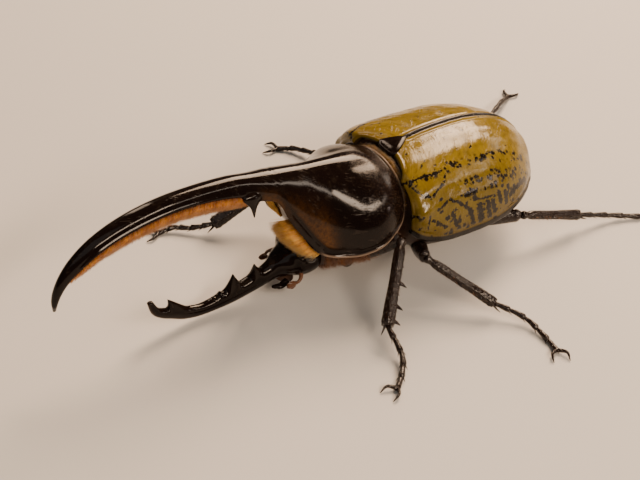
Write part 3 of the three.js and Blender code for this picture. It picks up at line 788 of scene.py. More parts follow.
# %% Underside finish
underside, shader, tree = finish_named("underside", 0.45, 0.2, 0.2, 0.4)
grain = use(tree, grain_group, Lumps=3.0, Pits=1.5, Pit_depth=1.0)
dust = use(tree, dust_group, Amount=0.2)
colour = mixed(tree, grain["Cloud"], (0.014, 0.006, 0.003), (0.045, 0.018, 0.0075))
colour = mixed(tree, mark(tree, "seam"), colour, (0.006, 0.003, 0.002))
colour = mixed(tree, dust["Mask"], colour, (0.2, 0.14, 0.09))
rough = between(tree, grain["Height"], 0.1, 0.9, 0.52, 0.38)
feed(tree, shader, colour, rough, grain["Height"], 0.12)
print(underside.name, "has", len(tree.nodes), "nodes")

# %% Feeler and eye finishes
horn_brown, shader, tree = finish_named("horn_brown", 0.3, 0.4, 0.08, 0.35)
grain = use(tree, grain_group, Lumps=3.0, Pits=2.2, Pit_depth=0.6)
dust = use(tree, dust_group, Amount=0.15)
colour = mixed(tree, grain["Cloud"], (0.05, 0.016, 0.005), (0.13, 0.045, 0.012))
# Darker in the low places of the grain: painted shade.
colour = mixed(tree, between(tree, grain["Height"], 0.3, 0.7, 0.4, 0.0), colour, (0.02, 0.007, 0.003))
colour = mixed(tree, dust["Mask"], colour, (0.25, 0.17, 0.1))
feed(tree, shader, colour, between(tree, grain["Height"], 0.1, 0.9, 0.36, 0.24), grain["Height"], 0.05)

eye_gloss, shader, tree = finish_named("eye", 0.1, 0.6, 0.02, 0.4)
grain = use(tree, grain_group, Lumps=1.0, Pits=7.0, Pit_depth=1.0)
colour = mixed(tree, grain["Cloud"], (0.004, 0.0024, 0.0018), (0.012, 0.006, 0.0035))
feed(tree, shader, colour, between(tree, grain["Height"], 0.0, 1.0, 0.14, 0.08), grain["Height"], 0.012)
print("finishes so far:", len(bpy.data.materials))

# %% [markdown]
# ### Hair finishes
#
# Real hair is darkest at its root and palest at its tip, and no two strands have the
# same colour. So each tuft carries a random **tone** and each of its points says how
# near the **tip** it is, and one function turns these two numbers into a colour.
# Golden hair grows under the horn, yellow under the shield, and browner kinds in the
# gap behind it and on the breast and legs.

# %% Hair finishes


def hair_finish(name, root, middle, pale, rough):
    """Hair that is dark at its root, clear in the middle and pale at its tip."""
    made, shader, tree = finish_named(name, rough, 0.0, 0.1, 0.3)
    shader.inputs["Sheen Weight"].default_value = 0.2
    shader.inputs["Sheen Roughness"].default_value = 0.4
    tone, tip = mark(tree, "tone"), mark(tree, "tip")
    colour = mixed(tree, between(tree, tone, 0.0, 1.0), middle, pale)
    colour = mixed(tree, between(tree, tone, 0.0, 0.5, 0.55, 0.0), colour, root)
    colour = mixed(tree, between(tree, tip, 0.0, 0.6, 0.75, 0.0), colour, root)
    colour = mixed(tree, between(tree, tip, 0.45, 1.0, 0.0, 0.35), colour, pale)
    where = node(tree, "ShaderNodeTexCoord").outputs["Object"]
    cloud = noise(tree, where, 300.0, 3.0)
    colour = mixed(tree, between(tree, cloud, 0.35, 0.7, 0.3, 0.0), colour, root)
    feed(tree, shader, colour, between(tree, cloud, 0.3, 0.7, rough + 0.08, rough - 0.06))
    return made


golden_hair = hair_finish("golden_hair", (0.2, 0.05, 0.003), (0.56, 0.18, 0.01), (0.76, 0.34, 0.04), 0.5)
yellow_hair = hair_finish("yellow_hair", (0.45, 0.15, 0.01), (0.95, 0.46, 0.05), (1.0, 0.68, 0.17), 0.5)
fringe_hair = hair_finish("fringe_hair", (0.07, 0.028, 0.004), (0.26, 0.125, 0.02), (0.48, 0.29, 0.08), 0.5)
brown_bristle = hair_finish("brown_bristle", (0.035, 0.011, 0.003), (0.11, 0.036, 0.008), (0.26, 0.1, 0.024),
                            0.42)
print("finishes:", [m.name for m in bpy.data.materials])

# %% [markdown]
# ## The shield and its horn
#
# On the real animal the shield over the first body ring and its great horn are
# **one plate**: a broad hump that narrows into a horn bent down at the tip, with a
# raised bead all round its edge. Two joined meshes would show a seam, so a single
# skin runs from the rear edge to the tip. The sizes are curves along the body, and
# the beads, the furrow beside them and the keel are pushed out of the rings. Only
# the pair of side teeth is added as closed limbs of its own, rooted in the skin,
# because a ring can't be pushed sideways that far without stretching.
#
# Each list of keys is [mm ahead, value]. **middle** is the height of the side line
# and **half** its distance from the middle of the body. **over** and **under** are the
# height and depth of the skin from that line, **square** says how boxy a ring is, and
# **lean** how many degrees it leans forward.

# %% Sizes of the shield
SHIELD_TIP = 100.7
SHIELD = {
    "middle": curve(
        (0, 24.5), (3, 22.4), (7, 20.4), (16.5, 16.6), (21.5, 16.1), (24.5, 16.6), (26.5, 17.6),
        (29.5, 20.8), (35.4, 30), (36.4, 32.6), (37.6, 34.6), (39.5, 35.7), (43, 37.4), (50, 40.1),
        (60, 41.6), (70, 41.7), (80, 40.2), (88, 37.4), (93.6, 33.8), (97.4, 30.4), (99.4, 27.4),
        (100.5, 24.2), (SHIELD_TIP, 21.6)),
    "half": curve(
        (0, 11.6), (3, 15.4), (7, 17.6), (11.5, 18.5), (16.5, 16.9), (21.5, 14.3), (26, 12.4),
        (29.5, 10.9), (32.5, 9.1), (35.4, 7.25), (36.4, 6.4), (37.6, 5.65), (39.5, 5.07), (43, 4.3),
        (50, 3.6), (60, 3.2), (80, 2.9), (93.6, 2.2), (99.4, 1.3), (100.5, 0.9), (SHIELD_TIP, 0.4)),
    "over": curve(
        (0, 8.8), (3, 12), (7, 15.4), (16.5, 20.8), (21.5, 22), (24.5, 22), (26.5, 21.4), (29.5, 19),
        (35.4, 11.3), (36.4, 8.85), (37.6, 7.15), (39.5, 6.35), (43, 5.2), (50, 3.9), (60, 3.2), (70, 3),
        (88, 2.8), (93.6, 2.6), (99.4, 1.4), (100.5, 1), (SHIELD_TIP, 0.5)),
    # A negative depth is the hollow under the front of the shield, where the brush sits.
    "under": curve(
        (0, 4), (11.5, 3), (21.5, 1.6), (27, 0.6), (29.5, -0.6), (32, -2.6), (35, -3), (37, -2), (39, 0),
        (41, 1.6), (43, 2.6), (50, 2.9), (60, 2.6), (80, 2.5), (93.6, 1.9), (99.4, 1.2), (100.5, 0.9),
        (SHIELD_TIP, 0.4)),
    "square": curve(
        (0, 2.1), (11.5, 2), (16.5, 1.8), (21.5, 1.76), (26, 1.81), (30, 1.84), (33, 1.9), (36.5, 1.98),
        (SHIELD_TIP, 2)),
    "lean": curve(
        (0, 0), (50, 0), (60, 2), (70, 8), (80, 17), (88, 30), (93.6, 46), (97.4, 58),
        (99.4, 72), (SHIELD_TIP, 95)),
}
print("the shield is", round(2 * float(SHIELD["half"](11.5)), 1), "mm wide at its widest")

# %% Rings of a plate
SIDE_CROWD = 0.75  # how much closer the points of a ring stand near its two side lines


def plate_rings(sizes, ahead, turn, inset=0.0):
    """The grid of points of a plate: rings standing across the body, leaning forward."""
    ahead = np.asarray(ahead, float)[:, None]
    inset = np.broadcast_to(inset, ahead.shape[:1])[:, None]
    turn = np.asarray(turn, float)[None]
    c, s = np.cos(turn), np.sin(turn)
    up = s >= 0
    power = np.where(up, sizes["square"](ahead), sizes.get("square_under", lambda a: 2 + 0 * a)(ahead))
    half = np.maximum(sizes["half"](ahead) - inset, 0.2)
    over = np.maximum(sizes["over"](ahead) - inset, 0.2)
    under = sizes["under"](ahead) - inset
    x = half * rounded(c, power)
    rise = np.where(up, over, under) * rounded(s, power)
    lean = np.radians(sizes["lean"](ahead)) if "lean" in sizes else 0 * ahead
    z = sizes["middle"](ahead) + rise * np.cos(lean)
    return np.stack([x + 0 * ahead, ahead + rise * np.sin(lean), z], -1)


def side_turns(count):
    """Angles round a ring, closer together near the two side lines."""
    t = np.linspace(0, 2 * np.pi, count, endpoint=False)
    return t - SIDE_CROWD * np.sin(2 * t) / 2


print("20 mm ahead, the side line is at", plate_rings(SHIELD, [20.0], [0.0])[0, 0].round(2), "mm")

# %% [markdown]
# ### The skin of shield and horn
#
# A loft of those sizes is smooth all over. What makes it a beetle's plate is pushed
# out of it along its normals: a **bead** along the side edge, a thicker lip on the
# collar, a bead and a furrow along the rear edge, a keel on each side of the horn and
# a ridge on its back. Each is a bump across one distance, such as the distance from
# the side line, and fades in and out along the body. The same distances are kept as
# marks for the finish, which needs to know where it paints the glints in the grain,
# the highlight line on the beads and the warm reflection near the collar.

# %% The skin of shield and horn
shield_ahead = stations(0, SHIELD_TIP, 300, (0, 2.2, 8), (36, 3, 2), (99, 3, 4), (30, 8, 0.8))
shield_ahead = np.concatenate([[0.9, 0.35, 0.12], shield_ahead])
rear_inset = np.concatenate([[2.2, 1.2, 0.6], 0.32 * bump(shield_ahead[3:], 0.45)])
shield_turn = side_turns(168)
shield_grid = plate_rings(SHIELD, shield_ahead, shield_turn, rear_inset)
shield_normal = grid_normals(shield_grid)

s = shield_ahead[:, None]
upper = np.sin(shield_turn)[None] >= 0
angle_up = np.degrees(np.arctan2(np.sin(shield_turn), np.abs(np.cos(shield_turn))))[None]
to_side = np.hypot(SHIELD["half"](s) - np.abs(shield_grid[..., 0]), shield_grid[..., 2] - SHIELD["middle"](s))
climb = np.gradient(SHIELD["middle"](np.linspace(0, 45, 91)), 0.5)
climb = np.interp(s, np.linspace(0, 45, 91), climb) * (s < 44)
off_side = to_side / np.sqrt(1 + climb**2)  # mm from the side line
collar = ease(s, 25.5, 28) * (1 - ease(s, 33.8, 35.6))
bead = (0.34 * bump(off_side - 0.05, 0.33) - 0.16 * bump(off_side - 0.9, 0.32) * upper) * (1 - collar)
lip = collar * (0.6 * bump(off_side, 0.95) - 0.2 * bump(off_side - 1.75, 0.42) * upper)
bead = (bead * (1 - ease(s, 30, 34)) + lip) * ease(s, 0.2, 1.2)
rear_bead = 0.36 * bump(s - 0.75, 0.34) * upper
rear_furrow = -0.22 * bump(s - 1.55, 0.36) * upper * ease(off_side, 0.5, 2)
keel = 0.34 * bump(angle_up - 4, 10) * ease(s, 42, 52) * (1 - ease(s, 90, 98))
ridge = 0.7 * np.exp(-((shield_grid[..., 0] / 3.1) ** 4)) * upper * ease(s, 3, 10) * (1 - ease(s, 20, 37))
ridge = ridge + 0.4 * bump(s - 8.5, 3.6) * bump(angle_up - 36, 17) * upper
lift = (bead + rear_bead + rear_furrow + keel + ridge) * (np.arange(len(shield_ahead)) > 2)[:, None]
shield_grid = shield_grid + lift[..., None] * shield_normal
# The glow mark: where a painted warm reflection lies, near the collar and at the horn's root.
at_root = bump(np.hypot((s - 25.6) / 1.5, (angle_up - 13) / 12), 1.6)
glow = 0.9 * at_root + 0.6 * bump(s - 31, 4.5) * bump(angle_up - 18, 20)
glow = glow * upper * ease(off_side, 2.0, 3.2) + 0.8 * bump(s - 38.8, 3.4) * bump(angle_up, 22)
# Where the side bead gets its painted highlight line.
side_bead_highlight = (1 - collar) * bump(off_side - 0.05, 0.22) * (s < 30)
shield_marks = {
    "rear": np.maximum(1 - s / 26, 0) + 0 * angle_up,
    "under": np.clip(-angle_up / 90, 0, 1) * ease(off_side, 1.2, 2.0) + 0 * s,
    "glow": np.clip(glow, 0, 1),
    "bead": np.clip(bump(s - 0.78, 0.24) * upper + side_bead_highlight, 0, 1),
}


def side_tooth(side):
    """The pointed tooth on each side of the horn's foot, flaring where it grows out."""
    foot, tip = np.array([side * 1.6, 44.3, 40.6]), np.array([side * 6.3, 45.4, 33.4])
    middle = (foot + tip) / 2 + [side * 0.5, -0.1, 0.2]
    radius = lambda t: 0.8 * (1 - t) ** 0.8 + 0.8 * bump(t - 0.4, 0.2) * ease(t, 0, 0.3) + 0.05
    return limb([foot, middle, tip], radius, 60, 40, 2.3, along=(0, 1, 0.25))


print("shield and horn:", shield_grid.shape[0], "rings of", shield_grid.shape[1], "points")

# %% [markdown]
# ## The head and its horn
#
# The head is small beside the shield. It carries a second horn that curves up to
# meet the first one, with **teeth along its upper edge**. The teeth are thin from
# side to side, so they are raised only from the narrow strip along the middle of
# each ring: a crest that fades quickly to both sides. More rings stand near each
# tooth, so that its tip is a point and not a step.

# %% Sizes of the head
HEAD_TIP = 73.3
HEAD = {
    "middle": curve(
        (22, 11), (28.5, 10.1), (31.5, 9.1), (34.5, 7.7), (38, 6.3), (42, 5.3), (48, 4.2),
        (53.5, 3.5), (58, 3.4), (62, 4.3), (66, 5.9), (69.6, 7.2), (71.9, 9), (HEAD_TIP, 12.2)),
    "half": curve(
        (22, 6.4), (25, 7.5), (28.5, 7), (31.5, 4.9), (34.5, 2.9), (38, 2.3), (48, 2),
        (58, 1.5), (66, 1.4), (69.6, 1.3), (71.9, 1.1), (HEAD_TIP, 0.7)),
    "over": curve(
        (22, 4.6), (28.5, 4.6), (31.5, 3.8), (34.5, 3.1), (38, 2.9), (42, 2.5), (48, 2.2), (58, 1.5),
        (66, 1.7), (69.6, 1.4), (71.9, 1.2), (HEAD_TIP, 0.8)),
    "under": curve(
        (22, 5.2), (25, 6), (28.5, 5.8), (31.5, 4.5), (34.5, 3.2), (38, 2.6), (48, 2.5),
        (56, 2.1), (63, 2.3), (67, 2), (69.6, 1.6), (71.9, 1.2), (HEAD_TIP, 0.8)),
    "square": curve((22, 2.3), (38, 2), (HEAD_TIP, 2)),
    "lean": curve(
        (22, 0), (28.5, 4), (38, 18), (42, 14), (48, 8), (53.5, 0), (62, -20), (69.6, -44),
        (71.9, -60), (HEAD_TIP, -80)),
}
# Teeth of the horn: where a tooth stands, its height over the plain edge, how far it
# reaches back and forward, and how many degrees it leans forward.
HORN_TEETH = [
    (39.5, 3.2, 2.0, 2.4, 5), (46.9, 4.5, 2.6, 3.6, 3), (51.3, 0.9, 1.0, 1.3, 5), (67, 4.0, 5.0, 1.9, 29)]
print("the head's horn has", len(HORN_TEETH), "teeth, up to", max(row[1] for row in HORN_TEETH), "mm high")

# %% The skin of head and horn
crowded = [(41, 3, 2.5), (48.5, 4, 2.5), (68, 3, 3), (73.3, 1.5, 4), (27, 3, 1)]
head_ahead = stations(22.6, HEAD_TIP, 260, *crowded)
head_turn = np.linspace(0, 2 * np.pi, 96, endpoint=False)
head_grid = plate_rings(HEAD, head_ahead, head_turn)
head_normal = grid_normals(head_grid)
s = head_ahead[:, None]
crest = np.maximum(np.sin(head_turn), 0)[None] ** 3.4
rise = np.zeros(head_grid.shape)
for stand, height, back, front, tilt in HORN_TEETH:
    reach = np.where(s < stand, back, front)
    tooth = height * np.clip(1 - np.abs(s - stand) / reach, 0, 1) ** 1.35
    lean = math.radians(tilt)
    rise += (tooth * crest)[..., None] * [0, math.sin(lean), math.cos(lean)]
serration = 0.3 * np.abs(np.sin(s * 3.2)) * ease(s, 49.5, 50) * (1 - ease(s, 53.5, 55)) * crest
head_grid = head_grid + rise + serration[..., None] * [0, 0, 1]
cos_turn = np.cos(head_turn)[None]
sin_turn = np.sin(head_turn)[None]
canthus = 0.55 * bump(s - 28.9, 0.8) * bump(np.abs(cos_turn) - 0.86, 0.16) * (sin_turn > -0.2)
cheek = -0.35 * bump(s - 30.8, 1.0) * bump(np.abs(cos_turn) - 0.9, 0.25)
brow = 0.25 * bump(s - 33.6, 1.2) * bump(np.abs(cos_turn) - 0.7, 0.3) * (sin_turn > 0)
flute = -0.22 * bump(sin_turn - 0.25, 0.22) * ease(s, 37, 41) * (1 - ease(s, 60, 66))
head_grid = head_grid + (canthus + cheek + brow + flute)[..., None] * head_normal
head_marks = {
    "rear": 0.35 * (1 - ease(s, 36, 44)) + 0 * sin_turn,
    "under": np.clip(-sin_turn, 0, 1) + 0 * s,
}
print("head and horn:", head_grid.shape[0], "rings of", head_grid.shape[1], "points")

# %% [markdown]
# ## The wing cases
#
# The two wing cases are hard shells, domed over the hind body, that meet in a
# straight seam. Each is a **thin shell with a real thickness**: an outer skin, the
# same skin moved inwards, and a rolled bead along the outer edge. The front edge is
# hollowed to follow the shield. Each one also gets a flat map of itself, in which a
# millimetre on the shell is a millimetre on the map, so that its spots stay round.

# %% Sizes of the dome
CASE_LENGTH, CASE_BASE, CASE_HALF, CASE_TOP, CASE_SEAT = 52.6, 1.5, 22.3, 36.8, 16.4
WIDEST, HIGHEST, SHOULDER = 0.42, 0.36, 0.04
CASE_RIM = curve((0, 18.6), (0.06, 17), (0.22, 15.3), (0.6, 15), (0.85, 16), (1, 17))
CASE_SQUARE = curve((0, 3.2), (0.2, 2.7), (0.4, 2.4), (0.6, 2.32), (0.85, 2), (1, 1.8))


def dome(share, power):
    """A superellipse's height: 1 in the middle, 0 where the share is 1."""
    return np.maximum(1 - np.abs(share) ** power, 0) ** (1 / power)


def dome_sizes(share, inset=0.0):
    """Half width, height over the rim, rim height, squareness and place of the dome."""
    front = share < WIDEST
    out = (share - WIDEST) / np.where(front, 0.486, 1 - WIDEST)
    up = (share - HIGHEST) / np.where(share < HIGHEST, 0.62, 1 - HIGHEST)
    edge = 1 - 0.1 * np.maximum(1 - share / SHOULDER, 0) ** 2
    rim = CASE_RIM(share)
    half = np.where(front, dome(out, 4.5), dome(out, 2)) * CASE_HALF * edge - inset
    top = CASE_SEAT + (CASE_TOP - CASE_SEAT) * dome(up, 2.25) * edge
    over = np.maximum(top - rim, 0.6) - inset
    ahead = CASE_BASE - inset - (CASE_LENGTH - 2 * inset) * share
    return np.maximum(half, 0.4), np.maximum(over, 0.2), rim, CASE_SQUARE(share), ahead


print("wing cases:", CASE_LENGTH, "mm long and", 2 * CASE_HALF, "mm wide over both")

# %% [markdown]
# ### A map of millimetres
#
# The skin of one case runs from the seam to the outer edge in columns, and from the
# front edge to the rear in rings. Adding up the steps between its points gives the
# **way over the shell** from the front edge and from the seam. The two ways are the
# flat map that the spots are laid out on.

# %% The skin of one wing case
SEAM_GAP = 0.15  # mm from the middle of the body to the case's seam face


def hollow_edge(x, z):
    """How far ahead the wing cases may reach, so that they follow the shield."""
    inside = 1 - (x / 17) ** 2 - ((z - 30) / 30) ** 2
    return 10.5 - 12.6 * np.sqrt(np.maximum(inside, 0)) + 40 * (inside <= 0)


def case_grid(rings, columns):
    """Outer surface of the left wing case, from the seam to the rim."""
    q = np.linspace(0, 1, columns)[None]
    spread = np.sin(q**1.3 * np.pi / 2)
    t = (1 - np.cos(np.pi * np.linspace(0.0, 1, rings))) / 2
    start = np.zeros((1, columns))
    for _ in range(4):
        half, over, rim, square, ahead = dome_sizes(start + 0.004)
        x = SEAM_GAP + (half - SEAM_GAP) * spread ** (2 / square)
        z = rim + over * np.maximum(1 - (x / half) ** square, 0) ** (1 / square)
        start = np.maximum((CASE_BASE - hollow_edge(x, z)) / CASE_LENGTH, 0)
    share = start + (1 - start) * t[:, None]
    half, over, rim, square, ahead = dome_sizes(share)
    x = SEAM_GAP + (half - SEAM_GAP) * spread ** (2 / square)
    z = rim + over * np.maximum(1 - (x / half) ** square, 0) ** (1 / square)
    return np.stack([x, ahead + 0 * x, z], -1)


CASE_RINGS, CASE_COLUMNS = 190, 132
case_outer = case_grid(CASE_RINGS, CASE_COLUMNS)
case_normal = grid_normals(case_outer, wrap=False)
step_down = np.linalg.norm(np.diff(case_outer, axis=0, prepend=case_outer[:1]), axis=-1)
step_out = np.linalg.norm(np.diff(case_outer, axis=1, prepend=case_outer[:, :1]), axis=-1)
case_down = np.cumsum(step_down, axis=0)  # mm from the front edge
case_out = np.cumsum(step_out, axis=1)  # mm from the seam
case_rim_gap = case_out[:, -1:] - case_out  # mm from the outer edge
case_back_gap = case_down[-1:] - case_down  # mm from the rear end
print("over the shell:", case_down.max().round(1), "mm down and", case_out.max().round(1), "mm out")

# %% Details of a wing case
seam_ridge = 0.26 * bump(case_out - 0.55, 0.42) - 0.14 * bump(case_out - 1.5, 0.3)
seam_ridge = seam_ridge * ease(case_down, 4, 8)
front_roll = -0.5 * bump(case_down, 0.35) + 0.1 * bump(case_down - 1.0, 0.4)
shoulder_knob = 0.3 * bump(case_down - 5.5, 2.8) * bump(case_out - 19.2, 2.6)
shoulder_knob = shoulder_knob + 1.1 * bump(case_down - 4.2, 2.6) * bump(case_out - 24.6, 2.4)
hind_knob = 0.4 * bump(case_back_gap - 11, 3.0) * bump(case_rim_gap - 9.5, 3.4)
ribs = 0.035 * np.sin(case_out * 2 * np.pi / 4.6) * ease(case_down, 3, 9) * ease(case_back_gap, 5, 14)
swing = 1.2 * np.sin(case_out * 0.5)
dents = 0.04 * np.sin(case_down * 0.9 + swing) * np.sin(case_out * 0.63 + 0.4 * case_down)
rim_bead = 0.22 * bump(case_rim_gap - 0.5, 0.5) - 0.16 * bump(case_rim_gap - 1.7, 0.45)
details = seam_ridge + front_roll + shoulder_knob + hind_knob + ribs + dents + rim_bead
lift = details * ease(case_back_gap, 0, 2)
SEAM_FACE = 0.12  # mm from the middle of the body
case_skin = case_outer + lift[..., None] * case_normal
case_skin[:, 0, 0] = SEAM_FACE
print("details rise from", lift.min().round(2), "to", lift.max().round(2), "mm")

# %% [markdown]
# ### Closing the shell
#
# One ring of the closed shell runs out over the case, round the **rolled edge** and
# back along the inner skin to the seam. The two ends, at the front edge and at the
# rear, are closed with a strip of quads between the outer and the inner skin, so the
# shell is hollow and still one closed body.

# %% A closed wing case
EDGE_ROLL = [(0.05, -0.3), (-0.12, -0.62), (-0.5, -0.85), (-1.1, -0.9), (-1.9, -0.75)]  # mm [out, up]
SHELL_THICK = 0.75  # mm


def shell(loop, columns, marks):
    """Closes a shell whose rings run out over it and back inside it."""
    rings, sides = loop.shape[:2]
    made = tube(loop, marks)
    made["points"] = made["points"][:-2]
    made["marks"] = {n: v[:-2] for n, v in made["marks"].items()}
    made["faces"] = made["faces"][: (rings - 1) * sides]
    for top in (0, (rings - 1) * sides):
        strip = [(top + j, top + j + 1, top + sides - 2 - j, top + sides - 1 - j) for j in range(columns - 1)]
        roll = tuple(top + j for j in range(columns - 1, sides - columns + 1))
        caps = strip + [roll]
        made["faces"] += caps if top else [face[::-1] for face in caps]
    return made


def all_round(on_top, on_roll, below):
    """Values of the outer skin, the rolled edge and the inner skin, in the order of a ring."""
    roll = np.zeros((CASE_RINGS, len(EDGE_ROLL))) + on_roll
    return np.concatenate([on_top, roll, below[:, ::-1]], 1)


def wing_case(side):
    """A closed shell: outer skin, rolled edge, inner skin and a narrow seam face."""
    last = case_skin[:, -1]
    shrink = ease(case_back_gap[:, -1], 0, 3) * (1 - 0.6 * bump(case_down[:, -1], 1.5))
    rolled = [last + np.stack([dx * shrink, 0 * shrink, dz * shrink], -1) for dx, dz in EDGE_ROLL]
    inner = case_skin - SHELL_THICK * case_normal * ease(case_back_gap, -0.2, 2)[..., None]
    inner[..., 0] = np.maximum(inner[..., 0], SEAM_FACE)
    loop = np.concatenate([case_skin, np.stack(rolled, 1), inner[:, ::-1]], 1)
    loop[..., 0] *= side
    marks = {
        "down": all_round(case_down, case_down[:, -1:], case_down),
        "out": all_round(case_out, case_out[:, -1:] + np.linspace(0.3, 3, len(EDGE_ROLL)), case_out),
        "inside": all_round(0 * case_out, 0, 1 + 0 * case_out),
        "rim": all_round(case_rim_gap, 0, case_rim_gap),
        "back": all_round(case_back_gap, case_back_gap[:, -1:], case_back_gap),
    }
    return shell(loop, CASE_COLUMNS, marks)


print("points in one closed case:", len(wing_case(1)["points"]))

# %% [markdown]
# ## The little plate between the wing cases
#
# The scutellum is a small glossy triangle with curved sides. It sits on the dome
# of the wing cases, so its height comes from the same dome, with a soft pillow
# shape and a fine border of its own.

# %% The scutellum
PLATE_HALF, PLATE_BASE, PLATE_TIP = 4.6, 0.9, 8.4  # half its width, and its ends in mm behind the joint


def plate_top(x, ahead):
    """Height of the wing-case dome over a point."""
    half, over, rim, square, _ = dome_sizes((CASE_BASE - ahead) / CASE_LENGTH)
    return rim + over * np.maximum(1 - (np.abs(x) / half) ** square, 0) ** (1 / square)


def scutellum_part():
    """Rings that shrink towards the plate's middle, closed below by a skirt."""
    rings, sides = 18, 60
    turn = np.linspace(0, 2 * np.pi, sides, endpoint=False)
    outline = []
    for a in turn:
        share = (1 - np.cos(a)) / 2  # 0 at the base, 1 at the tip
        width = PLATE_HALF * (1 - share) ** 0.72 * np.minimum(1, 0.55 + 2.6 * share)
        across = np.sign(np.sin(a)) * width * min(1, abs(np.sin(a)) * 3 + 0.15)
        outline.append((across, PLATE_BASE + (PLATE_TIP - PLATE_BASE) * share))
    outline = np.array(outline)
    centre = np.array([0.0, 3.6])
    grid = []
    for k, r in enumerate(np.linspace(1, 0.03, rings)):
        flat = centre + (outline - centre) * r
        pillow = 0.3 + 0.28 * (1 - r**3) - 0.1 * bump(r - 0.86, 0.05) - 0.25 * (k == 0)
        grid.append(np.stack([flat[:, 0], -flat[:, 1], plate_top(flat[:, 0], -flat[:, 1]) + pillow], -1))
    top = np.array(grid)
    skirt = top[0] - [0, 0, 0.7]
    under = top[0] * [0.6, 1, 1] - [0, 0, 1.0]
    return tube(np.concatenate([under[None], skirt[None], top]))


print("scutellum:", 2 * PLATE_HALF, "mm wide and", round(PLATE_TIP - PLATE_BASE, 1), "mm long")

# %% [markdown]
# ## The hind body
#
# Under the wing cases lies a softer body of overlapping belly rings. Each ring is
# a shallow step with a smooth rolled edge, like roof tiles that open to the rear.
# A saw-tooth along the body, pushed out of the belly only, draws all of them.

# %% The hind body
RING_EDGES = (19.2, 25.5, 31.0, 36.0, 40.8, 46.0)  # mm behind the joint
HIND_INSET = 1.6  # mm between the wing cases' dome and the body under it
TILE_RISE, TILE_ROLL = 0.5, 0.35  # height of a ring's step and length of its rolled edge, in mm


def belly_depth(share):
    """How far the belly hangs below the wing cases' rim, less towards the tail."""
    return CASE_RIM(share) - 6.6 - 20 * np.maximum(share - 0.72, 0)


def hind_grid(shares):
    """Rings of the hind body, a little inside the dome, and the angles round them."""
    turn = np.linspace(0, 2 * np.pi, 96, endpoint=False)[None]
    share = shares[:, None]
    half, over, rim, square, ahead = dome_sizes(share, HIND_INSET)
    c, s = np.cos(turn), np.sin(turn)
    power = np.where(s >= 0, square, 2.0)
    depth = np.maximum(belly_depth(share), 0.5)
    x = half * rounded(c, power)
    z = rim + np.where(s >= 0, over, depth) * rounded(s, power)
    return np.stack([x, ahead + 0 * x, z], -1), turn


def tile_steps(ahead, edges):
    """A saw-tooth that swells towards each edge and drops behind it."""
    total = 0 * ahead
    for start, end in zip(edges[:-1], edges[1:]):
        f = np.clip((-ahead - start) / (end - start), 0, 1)
        total = total + TILE_RISE * f * (1 - ease(-ahead, end - TILE_ROLL, end))
    return total


def hind_part(first, last, rings):
    """A stretch of the hind body between two shares of its length."""
    grid, turn = hind_grid(stations(first, last, rings))
    normal = grid_normals(grid)
    belly = ease(-np.sin(turn), -0.25, 0.25)
    ahead = grid[..., 1]
    lift = -0.35 + (tile_steps(ahead, RING_EDGES) + 0.25) * belly
    lift = lift + 0.05 * np.sin(9 * turn) * belly
    ends = ease(np.arange(rings)[:, None], 0, 2) * ease(rings - 1 - np.arange(rings)[:, None], 0, 2)
    grid = grid + (lift * (0.4 + 0.6 * ends))[..., None] * normal
    seam = sum(bump(-ahead - e, 0.35) for e in RING_EDGES[:-1])
    return tube(grid, {"seam": np.clip(seam, 0, 1) * belly})


print("belly rings:", len(RING_EDGES) - 1)

# %% [markdown]
# ### The breast
#
# The breast carries the fore legs and joins the shield to the head. It is mostly
# hidden, so a plain plate with a keel, two **sockets** for the fore hips and one
# seam is enough.

# %% The breast
BREAST_RINGS, BREAST_SIDES = 70, 84
BREAST_SIZES = {
    "middle": curve((0.3, 14), (23.6, 12)),
    "half": curve((0.3, 11), (5, 12.4), (13, 12.6), (20, 9.6), (23.6, 8)),
    "over": curve((0.3, 6.5), (5, 6), (13, 4), (23.6, 4)),
    "under": curve((0.3, 7), (13, 6.6), (23.6, 5.2)),
    "square": lambda a: 2.2 + 0 * a,
    "square_under": lambda a: 2.2 + 0 * a,
}


def breast_part():
    """The breast with its keel, sockets and seam."""
    ahead = stations(0.5, 23.4, BREAST_RINGS)
    turn = np.linspace(0, 2 * np.pi, BREAST_SIDES, endpoint=False)
    grid = plate_rings(BREAST_SIZES, ahead, turn)
    normal = grid_normals(grid)
    s, a = ahead[:, None], turn[None]
    keel = 0.9 * bump(np.cos(a), 0.16) * (np.sin(a) < 0) * bump(s - 8, 3)
    sockets = -1.1 * bump(s - 14.5, 3.2) * bump(np.abs(np.cos(a)) - 0.55, 0.3) * (np.sin(a) < 0)
    seam = -0.25 * bump(s - 5.2, 0.4) * (np.sin(a) < 0.3)
    fine = 0.05 * np.sin(7 * a + s) * np.sin(1.7 * s)
    grid = grid + (keel + sockets + seam + fine)[..., None] * normal
    return tube(grid, {"seam": bump(s - 5.2, 0.5) + 0 * a})


print("points of the breast:", len(breast_part()["points"]))

# %% [markdown]
# ## The legs
#
# A beetle's leg has a hip ball, a thick thigh, a thorny shin and a foot of five
# small joints with two claws. Every piece is a **limb** along the joints of the
# solids. Thorns stand on the outer edge of the shin, two spurs at its end, and each
# foot joint is a little bell that holds the next.

